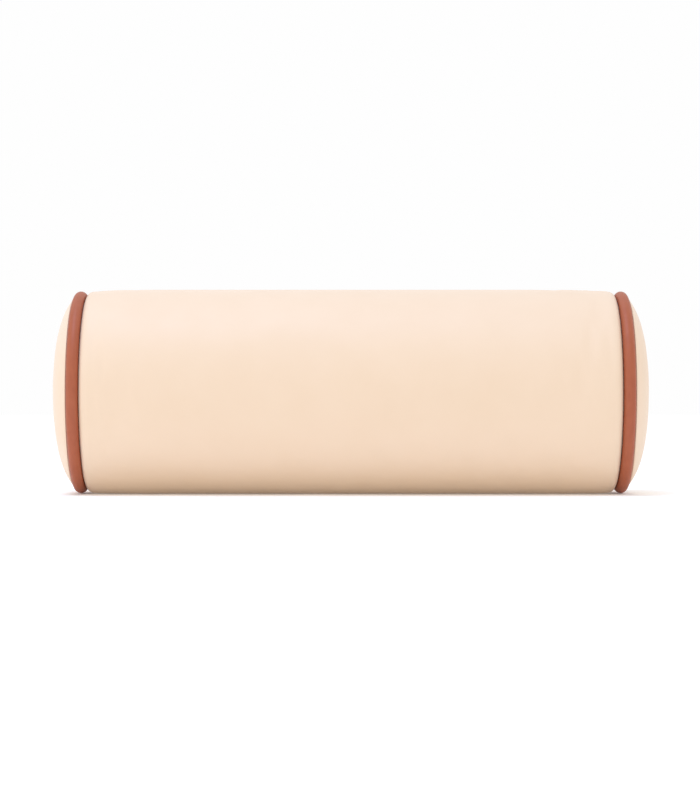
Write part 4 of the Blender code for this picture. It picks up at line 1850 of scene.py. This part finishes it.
@dataclass
class Filling:
    """The knitted liner, the wadding round the foam core, and a fibre pad in each dome."""

    layout: Layout
    bench: Workbench
    columns: int = 128
    liner_depth: float = 1.5 * MM
    liner_wall: float = 0.6 * MM
    wadding_depth: float = 2.5 * MM
    press_limit: float = 108.8 * MM
    press_past: float = 12 * MM  # how far past the zip's ends the pressed zone reaches
    press_fade: float = 14 * MM
    floor_wall: float = 1.6 * MM
    pad_drop: float = 22.5 * MM
    tuft_depth: float = 0.5 * MM
    tuft_size: float = 9 * MM
    cell_depth: float = 0.35 * MM
    cell_size: float = 6 * MM
    foam_cut: float = 3.2 * MM

    def press(self, piece: bpy.types.Object, core: float, wall: float) -> None:
        """Presses a soft layer flat behind the zip and where the pillow rests.

        Args:
            piece: the layer.
            core: the radius of the foam, whose surface does not move.
            wall: how much cover lies between the layer and the floor.
        """
        half = self.bench.gauge("zip_tape_upper").x_high + self.press_past
        skin = self.layout.body_radius - self.liner_depth
        for vertex in piece.data.vertices:
            x, y = vertex.co.x, vertex.co.y
            radius = math.hypot(y, vertex.co.z - self.layout.axis_height)
            share = min(1.0, max(0.0, (radius - core) / (skin - core)))
            if y > 0:
                fade = 1 - float(smoothstep(np.array(abs(x)), half, half + self.press_fade))
                vertex.co.y -= fade * share * max(0.0, skin * y / radius - self.press_limit)
            vertex.co.z = max(vertex.co.z, wall)

    def fluff(self, piece: bpy.types.Object, depth: float, scale: float) -> None:
        """Pits a surface inwards by a seeded noise.

        Args:
            piece: the piece.
            depth: the deepest pit.
            scale: the size of the noise's lumps.
        """
        for vertex in piece.data.vertices:
            lumps = noise.fractal(vertex.co / scale, 0.8, 2.0, 3)
            vertex.co -= vertex.normal * depth * (0.5 + 0.5 * max(-1.0, min(1.0, lumps)))

    def body_inset(self, depth: float) -> Outline:
        """The right half of the body's outline, moved inwards.

        Args:
            depth: how far it is moved.

        Returns:
            Its points, from the middle up to beside the piping.
        """
        radius = self.layout.body_radius
        knots = [(0.0, radius - depth)]
        for before, drop in Cover.shoulder[:-1]:
            knots.append((self.layout.seam_x - before, radius - drop - depth))
        return knots

    def filled(self, half: Outline, step: float) -> Outline:
        """Adds points to an outline's straight stretches.

        Args:
            half: the outline's own points.
            step: about how far apart the points are to be.

        Returns:
            The denser outline, through the same points.
        """
        line: Outline = []
        for (x0, r0), (x1, r1) in zip(half, half[1:]):
            count = max(1, round(math.hypot(x1 - x0, r1 - r0) / step))
            line += [(x0 + (x1 - x0) * i / count, r0 + (r1 - r0) * i / count) for i in range(count)]
        return line + [half[-1]]

    def make_liner(self) -> None:
        """The knitted bag that holds the filling, drawn up at both ends."""
        gauge = self.bench.gauge("liner")
        half = self.body_inset(self.liner_depth)
        neck = self.bench.gauge("right_bobbin_thread").r_high + 4.0 * MM
        half += [(gauge.x_high - 5.6 * MM, self.layout.ring_radius - 1.5 * MM)]
        half += [(gauge.x_high - 2.2 * MM, neck + 1.2 * MM), (gauge.x_high, neck - 1.6 * MM)]
        half += [(gauge.x_high, gauge.r_low)]
        line = mirrored(self.filled(half, 6 * MM)[1:])
        piece = self.bench.turned("knitted_liner", line, self.columns)
        self.press(piece, self.bench.gauge("foam_core").r_high, self.floor_wall)
        self.bench.thicken(piece, self.liner_wall)
        self.bench.place(piece, Body.PILLOW, Slot.LINER, ["liner"])

    def make_wadding(self) -> None:
        """The layer of carded fibre round the foam."""
        core = self.bench.gauge("foam_core").r_high + self.layout.gap
        half = self.body_inset(self.wadding_depth)
        end_x = self.bench.gauge("wadding_wrap").x_high
        half = [point for point in half if point[0] < end_x - 3 * MM]
        half += [(end_x - 0.6 * MM, self.layout.ring_radius), (end_x, core + 3 * MM), (end_x, core)]
        outer = mirrored(self.filled(half, 7 * MM)[1:])
        inner = [(x, core) for x in np.linspace(end_x, -end_x, 60)[1:-1]]
        piece = self.bench.turned("fibre_wrap", outer + inner, self.columns, closed=True)
        self.press(piece, core, self.floor_wall + 1.0 * MM)
        self.fluff(piece, self.tuft_depth, self.tuft_size)
        self.bench.place(piece, Body.PILLOW, Slot.WADDING, ["wadding_wrap"])

    def make_pad(self, end: End) -> None:
        """The fibre pad that rounds out one dome.

        Args:
            end: which end of the pillow.
        """
        gauge = self.bench.gauge(f"{end.label}_crown_pad")
        low, high = sorted((abs(gauge.x_low), abs(gauge.x_high)))
        high -= self.layout.crown_settle
        step_x = self.bench.gauge("right_needle_thread").x_high + self.layout.gap
        stem = self.layout.flange_radius - self.layout.cover_wall
        shares = np.linspace(0, 1, 14)
        falls = self.pad_drop * (0.6 * shares**2 + 0.4 * shares**6) * 0.86
        crown = [(high - fall, share * gauge.r_high) for fall, share in zip(falls, shares)]
        line = self.filled([(low, 0.0), (low, stem), (step_x, stem), (step_x, gauge.r_high)], 5 * MM)
        line = line[:-1] + list(reversed(crown))
        line = [(end.value * x, radius) for x, radius in line]
        piece = self.bench.turned(f"{end.label}_fibre_pad", line, self.columns)
        self.fluff(piece, self.tuft_depth, self.tuft_size)
        self.bench.place(piece, Body.PILLOW, Slot.WADDING, [f"{end.label}_crown_pad"])

    def make_foam(self) -> None:
        """The cut foam cylinder with its edges taken off."""
        gauge = self.bench.gauge("foam_core")
        half = [(0.0, gauge.r_high), (gauge.x_high - self.foam_cut, gauge.r_high)]
        half += [(gauge.x_high, gauge.r_high - self.foam_cut), (gauge.x_high, 0.0)]
        line = mirrored(self.filled(half, 8 * MM)[1:])
        piece = self.bench.turned("foam_cylinder", line, self.columns)
        self.fluff(piece, self.cell_depth, self.cell_size)
        self.bench.place(piece, Body.PILLOW, Slot.FOAM, ["foam_core"])

    def build(self) -> None:
        """Makes everything inside the cover."""
        self.make_liner()
        self.make_wadding()
        for end in End:
            self.make_pad(end)
        self.make_foam()


# ---------------------------------------------------------------- the studio


@dataclass
class Studio:
    """Pale floor, soft lights and the camera."""

    layout: Layout
    distance: float = 2.983
    below_axis: float = 8.6 * MM
    aside: float = -1.0 * MM
    lens: float = 119.9
    floor_size: float = 30.0
    floor_drop: float = 0.3 * MM  # keeps the floor clear of the flattened underside
    floor_tone: str = "#f8f8f8"
    floor_glow: float = 0.12
    sky: float = 1.0

    def make_floor(self) -> None:
        """A plain white floor."""
        half = self.floor_size / 2
        data = bpy.data.meshes.new("studio_floor")
        corners = [(-half, -half, 0), (half, -half, 0), (half, half, 0), (-half, half, 0)]
        data.from_pydata(corners, [], [(0, 1, 2, 3)])
        floor = linked("studio_floor", data)
        floor.location.z = -self.floor_drop
        material = bpy.data.materials.new("painted_studio_floor")
        material.use_nodes = True
        shader = material.node_tree.nodes["Principled BSDF"]
        shader.inputs["Base Color"].default_value = linear(self.floor_tone)
        shader.inputs["Roughness"].default_value = 0.9
        shader.inputs["Specular IOR Level"].default_value = 0.0
        shader.inputs["Emission Color"].default_value = linear("#ffffff")
        shader.inputs["Emission Strength"].default_value = self.floor_glow
        data.materials.append(material)

    def add_light(
        self, name: str, place: Sequence[float], size: tuple[float, float], watts: float, tone: str
    ) -> None:
        """Adds a rectangular soft light that faces the pillow.

        Args:
            name: the light's name.
            place: where it stands.
            size: its width and height.
            watts: its power.
            tone: its colour.
        """
        data = bpy.data.lights.new(name, "AREA")
        data.shape = "RECTANGLE"
        data.size, data.size_y = size
        data.energy = watts
        data.color = linear(tone)[:3]
        light = linked(name, data)
        light.location = place
        aim = Vector((0, 0, self.layout.axis_height)) - Vector(place)
        light.rotation_euler = aim.to_track_quat("-Z", "Y").to_euler()

    def make_camera(self) -> None:
        """The camera, level and square to the pillow's side."""
        data = bpy.data.cameras.new("camera")
        data.lens = self.lens
        camera = linked("camera", data)
        camera.location = (self.aside, -self.distance, self.layout.axis_height - self.below_axis)
        camera.rotation_euler = (math.pi / 2, 0, 0)
        bpy.context.scene.camera = camera

    def build(self) -> None:
        """Sets up the world, floor, lights and camera."""
        scene = bpy.context.scene
        scene.view_settings.view_transform = "Standard"
        world = bpy.data.worlds.new("studio")
        scene.world = world
        world.use_nodes = True
        backdrop = world.node_tree.nodes["Background"]
        backdrop.inputs["Color"].default_value = linear("#fefefe")
        backdrop.inputs["Strength"].default_value = self.sky
        self.make_floor()
        self.add_light("key", (-0.5, -0.45, 2.7), (1.4, 1.0), 34.0, "#aac9ff")
        self.add_light("side", (-2.4, -0.8, 0.5), (1.0, 0.8), 5.0, "#ffffff")
        self.make_camera()


def main() -> None:
    """Builds the pillow's pieces in order."""
    logging.basicConfig(level=logging.INFO, format="%(message)s")
    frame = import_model()
    layout = Layout.from_frame(frame["nodes"])
    finishes = FinishBook(layout.axis_height)
    finishes.make()
    bench = Workbench(finishes, frame["nodes"], layout.axis_height)
    slots = {part["node"]: Slot(part["material_slot"]) for part in frame["record"]["subparts"]}
    for name, node in frame["nodes"].items():
        node.data.materials.clear()
        node.data.materials.append(finishes.made[slots[name]])
    Studio(layout).build()
    Cover(layout, bench).build()
    Piping(layout, bench).build()
    Stitching(layout, bench).build()
    Zip(layout, bench).build()
    Slider(bench).build()
    Pull(bench).build()
    Filling(layout, bench).build()


if __name__ == "__main__":
    main()
